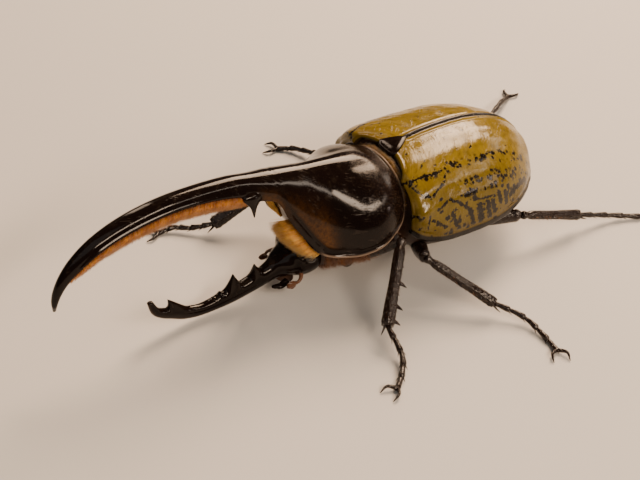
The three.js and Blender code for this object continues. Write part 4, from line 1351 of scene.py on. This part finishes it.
# %% Joints of the legs
# Each leg: hip, knee, ankle, two places along the foot and its end, [x, ahead, z] in mm.
LEGS = {
    "left_fore": [(6.5, 14.5, 8.2), (19.4, 5.9, 19.4), (34.4, 20.6, 6),
                  (43.4, 22, 2.4), (48, 25.6, 1.3), (51.2, 29.4, 0.6)],
    "right_fore": [(-6.5, 14.5, 8.2), (-24.6, 13.5, 16.6), (-29.8, 35.2, 3.6),
                   (-33.4, 40.6, 1.9), (-36.4, 44.4, 1.6), (-37.4, 49.2, 0.6)],
    "left_mid": [(8.5, -7, 8.2), (24.2, 0.9, 14), (40.5, -11.5, 4.2),
                 (47.9, -16.4, 2.2), (55.6, -17, 1.1), (61.8, -16.4, 0.6)],
    "right_mid": [(-8.5, -7, 8.2), (-24.5, 0.4, 14.5), (-38.4, -12.4, 4.8),
                  (-46.4, -10.2, 2.4), (-52, -7.4, 1.4), (-55.2, -3.6, 0.6)],
    "left_hind": [(6.8, -18.5, 8.2), (20.4, -37.2, 11.2), (23, -57.4, 5.2),
                  (25.2, -68.6, 2.1), (28.6, -76, 1), (32, -82, 0.6)],
    "right_hind": [(-6.8, -18.5, 8.2), (-19.6, -38.6, 11.2), (-27.4, -60.2, 5.4),
                   (-33.2, -71.2, 3.8), (-37.8, -78.6, 2.6), (-41.6, -85, 0.6)],
}
# Where the claws of a leg point, if they don't follow its foot.
CLAW_AIM = {"left_fore": (0.2, 0.98, 0), "left_mid": (0.93, 0.36, 0)}
THIGH = curve((0, 1.2), (0.25, 2), (0.55, 2.2), (0.85, 1.7), (1, 1.2))
SHIN = curve((0, 0.85), (0.12, 1.08), (0.6, 1.12), (0.88, 1.3), (1, 1.15))
DOWN = np.array([0, 0, -1.0])


def leg_lines(name):
    """The joints of a leg as arrays, its shin's direction and the way its thorns point."""
    joints = [np.array(p, float) for p in LEGS[name]]
    side, fore = np.sign(joints[0][0]), "fore" in name
    shin = unit(joints[2] - joints[1])
    outward = unit(np.cross(shin, DOWN)) * (-side if fore else side)
    return joints, shin, outward


print("legs:", len(LEGS), "with", len(LEGS["left_fore"]), "points each")

# %% Hip and thigh
def hip_part(name):
    """A ribbed ball in its socket, turned outwards."""
    hip = leg_lines(name)[0][0]
    turn = np.linspace(0, 2 * np.pi, 40, endpoint=False)[None]
    tilt = np.linspace(0.06, np.pi - 0.06, 26)[:, None]
    ridge = 1 + 0.05 * np.cos(3 * turn) * np.sin(tilt)
    ridge = ridge - 0.07 * bump(tilt - 1.2, 0.1) + 0.03 * np.cos(8 * tilt)
    x = 3.4 * np.sin(tilt) * np.cos(turn) * ridge
    y = 2.9 * np.sin(tilt) * np.sin(turn) * ridge
    z = 2.6 * np.cos(tilt) * ridge + 0 * turn
    a = -np.sign(hip[0]) * 0.5
    grid = np.stack([x * np.cos(a) + y * np.sin(a), y * np.cos(a) - x * np.sin(a), z], -1)
    return tube(grid + hip)


def thigh_part(name):
    """A thick limb with a cuff and a notch where the shin folds in."""
    hip, knee = leg_lines(name)[0][:2]
    start = hip + 0.1 * (knee - hip)

    def relief(t, a):
        ridge = 0.12 * np.cos(2 * a) + 0.05 * np.cos(5 * a + 1)
        cuff = 0.25 * bump(t - 0.93, 0.035) - 0.22 * bump(t - 0.985, 0.02)
        notch = -0.35 * bump(t - 0.97, 0.05) * bump(np.cos(a) + 1, 0.5)
        return (ridge + cuff + notch) * ease(t, 0, 0.1)

    return limb([start, (hip + knee) / 2, knee], THIGH, 60, 28, 1.12, relief=relief,
                at=np.linspace(0, 0.985, 60))


print("a thigh has", len(thigh_part("left_fore")["points"]), "points")


# %% Shin
def shin_part(name):
    """A ribbed limb with large and small thorns outside and two spurs at its end."""
    joints, shin, outward = leg_lines(name)
    knee, ankle = joints[1:3]
    fore = "fore" in name
    stout = 1.45 if fore else 1.15

    def relief(t, a):
        ribs = (0.09 * np.cos(6 * a) + 0.05 * np.cos(3 * a + 40 * t) * np.sin(55 * t)) * ease(t, 0.08, 0.2)
        knuckle = -0.25 * bump(t - 0.09, 0.035) + 0.12 * bump(t - 0.03, 0.03)
        collar = 0.14 * bump(t - 0.955, 0.025)
        return (ribs + knuckle + collar) * stout

    parts = [limb([knee, (knee + ankle) / 2, ankle], lambda t: SHIN(t) * stout, 70, 24, 1.08, relief=relief)]
    reach, radius = (2.9, 0.85) if fore else (1.7, 0.8)
    for share in ([0.5, 0.76, 0.93] if fore else [0.5, 0.8]):
        root = knee + share * (ankle - knee) + 0.5 * outward
        tip = root + reach * outward + 1.2 * shin
        parts.append(thorn(root, tip, radius, bend=-0.2 * shin, sides=12))
    for share in ([0.3, 0.62] if fore else [0.3, 0.4, 0.66, 0.9]):
        root = knee + share * (ankle - knee) + 0.55 * stout * outward
        parts.append(thorn(root, root + 1.1 * outward + 0.7 * shin, 0.42, sides=8))
    for lean in (0.9, -0.9):
        root = ankle - 0.9 * shin + lean * 0.5 * outward
        tip = root + 3.3 * shin + lean * 0.95 * outward + 0.7 * DOWN
        parts.append(thorn(root, tip, 0.5, bend=0.2 * DOWN))
    return parts


print("a fore shin has", len(shin_part("left_fore")) - 1, "thorns and spurs")

# %% [markdown]
# ### The foot
#
# Five small joints stand in a row, each widening like a **bell** to hold the next.
# One radius along the whole foot does this with a saw-tooth. Two short spines stand
# at the end of each of the first four, two curved claws at the foot's end, and
# nothing may pass through the floor.

# %% Foot
FOOT_JOINTS = 5


def foot_part(name):
    """Five bells in a row, their spines, two claws and the bristle between them."""
    joints = leg_lines(name)[0]
    path = joints[2:]
    t = np.concatenate([
        (k + np.array([0, 0.03, 0.1, 0.25, 0.45, 0.65, 0.8, 0.9, 0.95, 0.985])) / FOOT_JOINTS
        for k in range(FOOT_JOINTS)] + [[1.0]])

    def bell(share):
        k = np.minimum(np.floor(share * FOOT_JOINTS + 1e-9), FOOT_JOINTS - 1)
        f = share * FOOT_JOINTS - k
        last = k == FOOT_JOINTS - 1
        body = 0.64 + (0.38 - 0.1 * last) * f**1.4
        close = np.sqrt(np.clip(1 - np.maximum(f - 0.88, 0) / 0.13, 0, 1) ** 1.2 * 0.75 + 0.25)
        return body * np.where(last & (f > 0.95), 0.85, close) * (1 - 0.25 * (1 - ease(f, 0, 0.08)))

    relief = lambda u, a: 0.03 * np.cos(4 * a) + 0 * u
    parts = [limb(path, bell, sides=16, relief=relief, at=t)]
    line = smooth_path(path, 200)
    for k in range(FOOT_JOINTS - 1):
        i = int((k + 0.9) / FOOT_JOINTS * 199)
        heading = unit(line[min(i + 3, 199)] - line[i - 3])
        flank = unit(np.cross(heading, DOWN))
        for lean in (1, -1):
            root = line[i] + lean * 0.5 * flank + 0.2 * DOWN
            tip = root + 1.5 * heading + lean * 0.75 * flank + 0.25 * DOWN
            tip[2] = max(tip[2], 0.12)
            parts.append(thorn(root, tip, 0.22, sides=6, rings=6))
    end = joints[-1]
    heading = unit(np.array(CLAW_AIM.get(name, end - joints[-2]), float))
    flank = unit(np.cross(heading, DOWN))
    for lean in (1, -1):
        root = end - 0.4 * heading
        middle = root + 2.1 * heading + 2.1 * lean * flank - 0.7 * DOWN
        tip = root + 4.4 * heading + 2.3 * lean * flank + 0.3 * DOWN
        tip[2] = max(tip[2], 0.25)
        claw = curve((0, 0.56), (0.25, 0.5), (0.7, 0.33), (1, 0.1))
        parts.append(limb([root, middle, tip], claw, 22, 12, 1.15))
    bristle = end + 0.2 * heading
    parts.append(thorn(bristle, bristle + 1.5 * heading + 0.1 * DOWN, 0.12, sides=6, rings=6))
    for part in parts:
        part["points"][:, 2] = np.maximum(part["points"][:, 2], 0.0)
    return parts


print("a foot has", len(foot_part("left_fore")), "closed parts")

# %% [markdown]
# ## Eyes, mouth and feelers
#
# The eye is a low dome of tiny lenses. The feeler ends in a club of three leaves
# that lie on each other, and beside the mouth stand a pair of jaws and two pairs of
# small jointed palps. All are small, but they make the face.

# %% Eyes, jaws and lip
def on_side(side, *points):
    """Points of the left side, or their mirror images on the right."""
    return [(side * x, ahead, z) for x, ahead, z in points]


def eye_part(side):
    """A ball of fine lenses, mostly sunk in the head."""
    centre = np.array([side * 6.9, 27, 13.2])
    turn = np.linspace(0, 2 * np.pi, 72, endpoint=False)[None]
    tilt = np.linspace(0.02, np.pi - 0.02, 46)[:, None]
    lens = 0.022 * np.abs(np.sin(18 * turn)) * np.abs(np.sin(19 * tilt)) * np.sin(tilt)
    r = 1.8 + lens - 0.03
    out = r * np.sin(tilt)
    grid = np.stack([out * np.cos(turn), r * np.cos(tilt) + 0 * turn, out * np.sin(turn)], -1)
    return tube(grid * [0.97, 1, 0.97] + centre)


def jaw_part(side):
    """A short curved limb with a notch on its inner side."""
    path = on_side(side, (3.2, 31.8, 4.2), (3.6, 34.4, 3.8), (2.5, 36.4, 3.6))
    radius = curve((0, 1.1), (0.6, 0.95), (0.9, 0.6), (1, 0.3))
    notch = lambda t, a: -0.18 * bump(t - 0.72, 0.06) * (np.cos(a) < 0) + 0 * t
    return limb(path, radius, 34, 20, 0.8, relief=notch)


def lip_part():
    """The folded lip that closes the mouth from below."""
    turn = np.linspace(0, 2 * np.pi, 40, endpoint=False)[None]
    tilt = np.linspace(0.05, np.pi - 0.05, 24)[:, None]
    fold = 1 + 0.06 * np.cos(5 * turn) * np.sin(tilt)
    grid = np.stack([3.3 * np.sin(tilt) * np.cos(turn) * fold, -2.6 * np.cos(tilt) + 0 * turn,
                     1.1 * np.sin(tilt) * np.sin(turn) * fold], -1)
    return tube(grid + [0, 31, 3.9])


print("an eye has", len(eye_part(1)["points"]), "points")


# %% Palps and feelers
def palp_part(side):
    """A long and a short palp, each a row of beads."""
    long = on_side(side, (4.2, 29.6, 3.8), (5.4, 30.9, 3.5), (5.8, 32.1, 3.8), (5.5, 33.2, 4.4))
    short = on_side(side, (3.4, 30.6, 3.4), (3.9, 31.8, 3.2), (3.7, 32.9, 3.7))

    def beads(t):
        swell = 0.72 + 0.34 * np.abs(np.sin(np.pi * 4 * t)) ** 0.5
        return (0.34 + 0.14 * t) * swell * np.where(t > 0.97, 0.6, 1)

    return [limb(long, beads, 48, 14), limb(short, lambda t: 0.75 * beads(t), 36, 12)]


def feeler_part(side):
    """A jointed stalk with a club of three leaves."""
    path = on_side(side, (6.4, 29.4, 8), (7.3, 30.2, 7.3), (7.7, 31.4, 6.8), (7.3, 32.2, 6.4))

    def stalk(t):
        joints = 0.74 + 0.26 * np.abs(np.sin(np.pi * 8 * t)) ** 0.6
        return (0.62 - 0.2 * t) * np.where(t < 0.34, 1, joints)

    parts = [limb(path, stalk, 70, 14)]
    turn = np.linspace(0, 2 * np.pi, 24, endpoint=False)[None]
    tilt = np.linspace(0.05, np.pi - 0.05, 16)[:, None]
    for k in (-1, 0, 1):
        leaf = np.stack([
            0.22 * np.sin(tilt) * np.cos(turn) + k * 0.36 + 0.1 * k * np.cos(tilt),
            -1.35 * np.cos(tilt) + 0 * turn,
            0.8 * np.sin(tilt) * np.sin(turn)], -1)
        parts.append(tube(leaf + [side * 7.1, 33, 6.2]))
    return parts


print("a feeler has", len(feeler_part(1)), "closed parts")

# %% [markdown]
# ## Building the plates
#
# Now each skin becomes an object. It rides on the model's one rigid body, names
# the solids it stands for, and takes its finish.

# %% Shield, head and wing cases
SIDES = (("left", 1), ("right", -1))
shield_parts = [tube(shield_grid, shield_marks, (-0.6, 0.1)), side_tooth(1), side_tooth(-1)]
piece("shield_and_horn", shield_parts, black_shell, ["pronotum", "pronotal_horn"])
head_part = tube(head_grid, head_marks, (0.0, 0.1))
piece("head_and_horn", [head_part], black_shell, ["head", "head_horn"])
for word, side in SIDES:
    piece(f"wing_case_{word}_shell", [wing_case(side)], olive_shell, [f"wing_case_{word}"])
piece("scutellum_plate", [scutellum_part()], black_shell, ["scutellum"])

# %% Hind body and breast
THORAX_END = 19  # mm behind the joint
CUT = 0.004  # half the gap between thorax and belly, as a share of the length
cut_at = (CASE_BASE + THORAX_END - HIND_INSET) / (CASE_LENGTH - 2 * HIND_INSET)
piece("hind_thorax_ring", [hind_part(0.0, cut_at - CUT, 70)], underside, ["hind_thorax"])
piece("abdomen_rings", [hind_part(cut_at + CUT, 1.0, 150)], underside, ["abdomen"])
piece("breast_plate", [breast_part()], underside, ["breast"])

# %% Legs, one piece for each solid
for name in LEGS:
    piece(f"{name}_hip", [hip_part(name)], leg_shell, [f"{name}_coxa"])
    piece(f"{name}_thigh", [thigh_part(name)], leg_shell, [f"{name}_femur"])
    piece(f"{name}_shin", shin_part(name), leg_shell, [f"{name}_tibia"])
    piece(f"{name}_foot", foot_part(name), leg_shell, [f"{name}_tarsus"])

# %% Eyes, jaws, palps, feelers and lip
for word, side in SIDES:
    piece(f"{word}_eye", [eye_part(side)], eye_gloss, [f"eye_{word}"])
    piece(f"{word}_jaw", [jaw_part(side)], black_shell, [f"mandible_{word}"])
    piece(f"{word}_palps", palp_part(side), horn_brown, [f"palp_{word}"])
    piece(f"{word}_feeler", feeler_part(side), horn_brown, [f"antenna_{word}"])
piece("lip", [lip_part()], underside, ["mouth"])

# %% [markdown]
# ## Hair
#
# A pile of golden hair lines the lower side of the horn, a yellow brush stands out
# under the front of the shield, a short fringe closes the gap behind it, and brown
# bristles grow on the breast and the legs. Particle hair would look right but isn't
# a mesh, so each **tuft is a thin closed blade**: a three-sided root, a bent middle
# and a point. Roots are scattered over a skin by area, and every tuft remembers its
# root's place on that skin's own flat map.

# %% Scattering roots
CLUMPS = 0.16  # how much the tone of a clump differs


def scatter(grid, weight, count):
    """Random roots on a grid of rings: place, normal, forward direction and map place."""
    grid = np.concatenate([grid, grid[:, :1]], 1)
    normal = grid_normals(grid, wrap=False)
    corners = [grid[:-1, :-1], grid[1:, :-1], grid[1:, 1:], grid[:-1, 1:]]
    area = np.linalg.norm(np.cross(corners[1] - corners[0], corners[3] - corners[0]), axis=-1)
    share = (area * weight[: area.shape[0], : area.shape[1]]).ravel()
    cell = rng.choice(share.size, count, p=share / share.sum())
    i, j = np.divmod(cell, area.shape[1])
    u, v = rng.random((2, count))[:, :, None]

    def inside(values):
        near = values[i, j] * (1 - v) + values[i, j + 1] * v
        far = values[i + 1, j] * (1 - v) + values[i + 1, j + 1] * v
        return near * (1 - u) + far * u

    forward = unit(grid[i + 1, j] - grid[i, j])
    spot = np.stack([(j + v[:, 0]) / area.shape[1], (i + u[:, 0]) / area.shape[0]], -1)
    return inside(grid), unit(inside(normal)), forward, spot


def tones(middle, spread, roots):
    """A tone for each tuft: random, with lighter and darker clumps across the skin."""
    x, ahead, z = roots.T
    wave = np.sin(1.9 * ahead + 1.3 * z + 0.8 * x) + np.sin(0.9 * ahead - 2.3 * x + 0.5) * 0.7
    return np.clip(rng.normal(middle, spread, len(roots)) + CLUMPS * wave, 0, 1)


print("hair grows on", shield_grid.shape[0] * shield_grid.shape[1], "places of the shield's skin")

# %% Growing tufts
RING = [(-1.0, -0.3), (1.0, -0.3), (0.0, 0.6)]  # a tuft's three edges, across and deep
# The places of a tuft's seven points on the map, round its root's place.
PATCH = 0.0015 * np.array([(-1, -1), (1, -1), (0, 1), (-0.6, -0.4), (0.6, -0.4), (0, 0.7), (0, 0.2)])
SUNK = 0.12  # mm that a root lies inside the skin


def hair(name, finish, roots, normals, heading, spots, length, width, stand, tone, curl=0.35, messy=0.12):
    """Tufts from roots along heading; stand is how far they rise from the skin at first."""
    n, tuft = len(roots), len(PATCH)
    length = np.broadcast_to(length, n)[:, None] * rng.uniform(0.75, 1.15, (n, 1))
    stand = np.broadcast_to(stand, n)[:, None]
    jitter = rng.normal(0, messy, (n, 3))
    first = unit(heading * (1 - stand) + normals * stand + jitter)
    later = unit(first + heading * curl + rng.normal(0, messy, (n, 3)))
    flank = unit(np.cross(first, normals) + rng.normal(0, 0.3, (n, 3)))
    depth = unit(np.cross(first, flank))
    root = roots - SUNK * normals
    middle = root + first * length * 0.5
    tip = middle + later * length * 0.5
    w = width * rng.uniform(0.7, 1.2, (n, 1))
    low = [root + w * (a * flank + b * depth) for a, b in RING]
    mid = [middle + 0.8 * w * (a * flank + b * depth) for a, b in RING]
    points = np.stack([*low, *mid, tip], 1).reshape(-1, 3)
    base = tuft * np.arange(n)[:, None]
    quads = [base + [k, (k + 1) % 3, 3 + (k + 1) % 3, 3 + k] for k in range(3)]
    thirds = [base + [3 + k, 3 + (k + 1) % 3, 6] for k in range(3)] + [base + [2, 1, 0]]
    faces = [tuple(face) for group in quads + thirds for face in group.tolist()]
    uv = (np.clip(spots, 0.002, 0.998)[:, None] + PATCH[None]).reshape(-1, 2)
    marks = {"tone": np.repeat(tone, tuft), "tip": np.tile([0, 0, 0, 0.5, 0.5, 0.5, 1.0], n)}
    part = {"points": points, "faces": faces, "marks": marks}
    piece(name, [part], finish, uv=("OFBake", uv))


print("a tuft has", len(PATCH), "points")

# %% [markdown]
# ### Pile under the horn
#
# A dense pile, like cut velvet, lines the whole underside of the horn. It is longest
# behind the side teeth and runs out before the tip. Short hair that leans forward and
# **hangs down** looks like it at any distance.

# %% Pile under the horn
s = shield_ahead[:, None]
low_side = ease(-angle_up, 2, 12) * np.ones_like(s)
for part, (first, last) in enumerate(((44.5, 64), (64, 98))):
    zone = low_side * ease(s, 44.5, 47.5) * (1 - ease(s, 93, 98)) * (s >= first) * (s < last)
    roots, normals, forward, spots = scatter(shield_grid, zone, count=17000)
    reach = np.interp(roots[:, 1], [44, 50, 60, 84, 90, 98], [1.5, 2.5, 2.7, 2.3, 1.8, 0.7])
    reach = reach * (0.45 + 0.55 * ease(-normals[:, 2], -0.2, 0.7))
    heading = unit(forward * 0.45 + np.array([0, 0, -0.9]))
    hair(f"horn_pile_{part + 1}", golden_hair, roots, normals, heading, spots,
         length=reach, width=0.07, stand=0.5, tone=tones(0.45, 0.2, roots), messy=0.08)

# %% [markdown]
# ### Brush under the front of the shield
#
# A stiff yellow brush stands out from under the collar and reaches toward the head.
# Its hair is **rooted inside** the hollow front edge, longest in front, and points
# down, ahead and a little inwards. On the right side only a short pile is grown,
# because long hair would stand free in the gap between the two horns.

# %% Brush under the front of the shield
inner = (1 - upper) * ease(off_side, 0.7, 1.4) * ease(s, 26.4, 27.4) * (1 - ease(s, 31, 32))
for part, side in enumerate((1, -1)):
    zone = inner * (side * shield_grid[..., 0] > (4 if side > 0 else 5)) * (1 if side > 0 else s > 28.9)
    roots, normals, forward, spots = scatter(shield_grid, zone, count=16000 if side > 0 else 7000)
    reach = np.interp(roots[:, 1], [26.5, 28.5, 31.5], [3, 4.6, 6.6]) * (1 if side > 0 else 0.13)
    flat = ease(roots[:, 1:2], 27, 31)
    heading = unit(np.hstack([-0.5 * side + 0 * flat, 0.75 + 0 * flat, -0.75 + 0.4 * flat]))
    hair(f"collar_brush_{part + 1}", yellow_hair, roots, normals, heading, spots,
         length=reach, width=0.07, stand=0.12, tone=tones(0.5, 0.3, roots), messy=0.09)

# %% [markdown]
# ### Fringe behind the shield
#
# The gap between the shield and the wing cases is closed by a short even fringe. It
# grows on the shield's **rear edge** and points straight back, so the wing cases
# seem to come out from under it.

# %% Fringe between the shield and the wing cases
rear_zone = (bump(s - 0.25, 0.3) * (angle_up > -30)) * (np.arange(len(s)) > 1)[:, None]
roots, normals, forward, spots = scatter(shield_grid, rear_zone, count=5200)
inward = unit(np.array([0, 0.5, 24.0]) - roots)
roots = roots + inward * rng.uniform(0.0, 0.8, (len(roots), 1)) * [1, 0, 1]
outward = unit((roots - [0, 0, 22.0]) * [1, 0, 1])
heading = unit(np.array([0.0, -1.0, 0.0]) + 0.16 * outward)
hair("rear_fringe", fringe_hair, roots, outward, heading, spots,
     length=2.0, width=0.08, stand=0.1, tone=tones(0.5, 0.25, roots))

# %% [markdown]
# ### Bristles of breast and legs
#
# The breast has a coat of single brown bristles of all lengths, thickest at its
# sides. The legs have **rows of short ones**: along the lower side of the thigh and
# along both sides of the shin. They are scattered along straight lines instead of a
# skin, and those too near the floor are left out.

# %% Hair of the breast
breast_grid = breast_part()["points"][:-2].reshape(BREAST_RINGS, BREAST_SIDES, 3)
turn = np.linspace(0, 2 * np.pi, BREAST_SIDES, endpoint=False)[None]
along = np.linspace(0, 1, BREAST_RINGS)[:, None]
zone = ease(-np.sin(turn), -0.35, 0.1) * (0.35 + ease(np.abs(np.cos(turn)), 0.35, 0.8)) * np.ones_like(along)
roots, normals, forward, spots = scatter(breast_grid, zone, count=9000)
heading = unit(normals * [1, 0.3, 0.2] + np.array([0, -0.35, -0.5]))
reach = rng.uniform(0.7, 2.2, len(roots))
hair("breast_fringe", brown_bristle, roots, normals, heading, spots,
     length=reach, width=0.06, stand=0.4, tone=tones(0.45, 0.25, roots), messy=0.25)


# %% Bristles of the legs
def leg_bristles(name, count):
    """Roots along the lower side of a thigh and the inner and outer side of a shin."""
    joints, _, outward = leg_lines(name)
    hip, knee, ankle = joints[:3]
    lists = []
    for start_at, end_at, radius, lean, share in (
            (hip, knee, 1.9, DOWN - 0.2 * outward, 0.55), (knee, ankle, 1.15, -outward + 0.6 * DOWN, 0.3),
            (knee, ankle, 1.2, outward + 0.4 * DOWN, 0.15)):
        n = int(count * share)
        at = rng.uniform(0.12, 0.93, (n, 1))
        line = unit(end_at - start_at)
        side_way = unit(lean - line * (lean @ line) + rng.normal(0, 0.3, (n, 3)))
        side_way = unit(side_way - line * (side_way @ line)[:, None])
        thick = radius * np.sin(np.pi * (0.1 + 0.8 * at)) ** 0.4
        lists.append((start_at + at * (end_at - start_at) + side_way * thick, side_way,
                      np.repeat(line[None], n, 0), np.hstack([at, 0 * at + 0.1 + 0.8 * share])))
    return [np.vstack(group) for group in zip(*lists)]


gathered = [leg_bristles(name, count=520) for name in LEGS]
roots, normals, lines, spots = [np.vstack(group) for group in zip(*gathered)]
tone = np.clip(rng.normal(0.45, 0.25, len(roots)), 0, 1)
keep = roots[:, 2] > 1.6
hair("leg_bristles", brown_bristle, roots[keep], normals[keep], lines[keep], spots[keep],
     length=1.25, width=0.055, stand=0.55, tone=tone[keep], curl=0.5)

# %% [markdown]
# ## Floor
#
# The model stands on a plain pale floor, which is only a stage and no part of it.

# %% Floor
floor_mesh = bpy.data.meshes.new("floor")
corners = [(-1.5, -1.5, 0), (1.5, -1.5, 0), (1.5, 1.5, 0), (-1.5, 1.5, 0)]
floor_mesh.from_pydata(corners, [], [(0, 1, 2, 3)])
floor = bpy.data.objects.new("floor", floor_mesh)
bpy.context.scene.collection.objects.link(floor)
floor_finish, shader, tree = finish_named("floor_paint", 0.7, 0.0, 0.1, 0.2)
where = node(tree, "ShaderNodeTexCoord").outputs["Object"]
feed(tree, shader, mixed(tree, noise(tree, where, 3.0, 2.0), (0.52, 0.505, 0.485), (0.56, 0.545, 0.52)))
floor_mesh.materials.append(floor_finish)
print("floor:", corners[1][0] - corners[0][0], "m wide")

# %% [markdown]
# ## Light
#
# Polished black shows nothing but what it reflects, so the lamps are the real
# modelling tool. A warm window behind the animal draws the bright line along the
# horn and the gloss on the wing cases. A low, wide window and a strip on its left
# draw the streak on the shield's side. Small strips at the right and rear light the
# far edges, and a large weak one in front opens the shadows. A weak grey world fills
# the rest.

# %% Light
middle = Vector((0.0, 0.005, 0.025))


def soft_box(name, direction, distance, width, height, power, colour, spin=0.0):
    """A rectangular lamp seen from the model in a direction [left, ahead, up]."""
    lamp = bpy.data.lights.new(name, "AREA")
    lamp.shape, lamp.size, lamp.size_y = "RECTANGLE", width, height
    lamp.energy, lamp.color = power, colour
    made = bpy.data.objects.new(name, lamp)
    towards = Vector((direction[0], -direction[1], direction[2])).normalized()
    made.location = middle + towards * distance
    made.rotation_mode = "QUATERNION"
    made.rotation_quaternion = towards.to_track_quat("Z", "Y") @ Quaternion((0, 0, 1), math.radians(spin))
    bpy.context.scene.collection.objects.link(made)


def seen_at(azimuth, elevation):
    """The direction [left, ahead, up] of an azimuth from ahead towards the left, and a height."""
    a, e = math.radians(azimuth), math.radians(elevation)
    return math.sin(a) * math.cos(e), math.cos(a) * math.cos(e), math.sin(e)


# A lamp's name, direction in degrees, distance, width and height in m, power in W,
# colour and, if it isn't level, its turn in degrees.
soft_box("window_behind", seen_at(-147, 44), 0.75, 0.3, 0.48, 13.4, (1.0, 0.7, 0.47))
soft_box("strip_right", seen_at(-97, 38), 0.75, 0.1, 0.4, 1.3, (1.0, 0.74, 0.54))
soft_box("window_left", seen_at(87, 35), 0.75, 0.54, 0.1, 6.0, (1.0, 0.76, 0.56), 20)
soft_box("strip_left", seen_at(131, 35), 0.75, 0.46, 0.05, 0.95, (1.0, 0.82, 0.66))
soft_box("glow_left", seen_at(135, 10), 0.75, 0.12, 0.05, 0.3, (1.0, 0.8, 0.7))
soft_box("window_rear", seen_at(-175, 24), 0.85, 0.2, 0.12, 0.6, (1.0, 0.82, 0.66))
soft_box("fill_front", seen_at(30, 50), 1.2, 1.2, 0.9, 2.3, (1.0, 0.95, 0.88))
world = bpy.data.worlds.new("studio")
world.use_nodes = True
world.node_tree.nodes["Background"].inputs[0].default_value = (0.9, 0.87, 0.82, 1)
world.node_tree.nodes["Background"].inputs[1].default_value = 0.08
bpy.context.scene.world = world
print("lamps:", len(bpy.data.lights))

# %% [markdown]
# ## Camera
#
# The camera looks down at the animal's left front through a long lens, which keeps
# the two horns and the body in true proportion. Three axes at right angles make its
# **rotation**: back from the target, right and up, the last two turned by the roll.

# %% Camera
AZIMUTH, ELEVATION, ROLL, DISTANCE, LENS = 53.02, 37.95, 3.68, 0.46922, 96.2
target = Vector(to_scene([3.16, 21.33, 14.25]))
az, el, roll = (math.radians(a) for a in (AZIMUTH, ELEVATION, ROLL))
back = Vector((math.sin(az) * math.cos(el), -math.cos(az) * math.cos(el), math.sin(el)))
right = Vector((math.cos(az), math.sin(az), 0))
upward = back.cross(right)
turned_right = right * math.cos(roll) + upward * math.sin(roll)
turned_up = upward * math.cos(roll) - right * math.sin(roll)
camera_data = bpy.data.cameras.new("camera")
camera_data.lens, camera_data.sensor_width = LENS, 36.0
camera_data.clip_start, camera_data.clip_end = 0.01, 20.0
camera = bpy.data.objects.new("camera", camera_data)
bpy.context.scene.collection.objects.link(camera)
place = Matrix((turned_right, turned_up, back)).transposed().to_4x4()
place.translation = target + back * DISTANCE
camera.matrix_world = place
bpy.context.scene.camera = camera
print("the camera stands", round(camera.location.z, 3), "m over the floor")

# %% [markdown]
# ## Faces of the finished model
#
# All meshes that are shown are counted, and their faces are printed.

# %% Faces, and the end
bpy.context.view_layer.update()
shown = [made for made in bpy.data.objects if made.type == "MESH" and not made.hide_render]
print("faces in all:", sum(len(made.data.polygons) for made in shown))
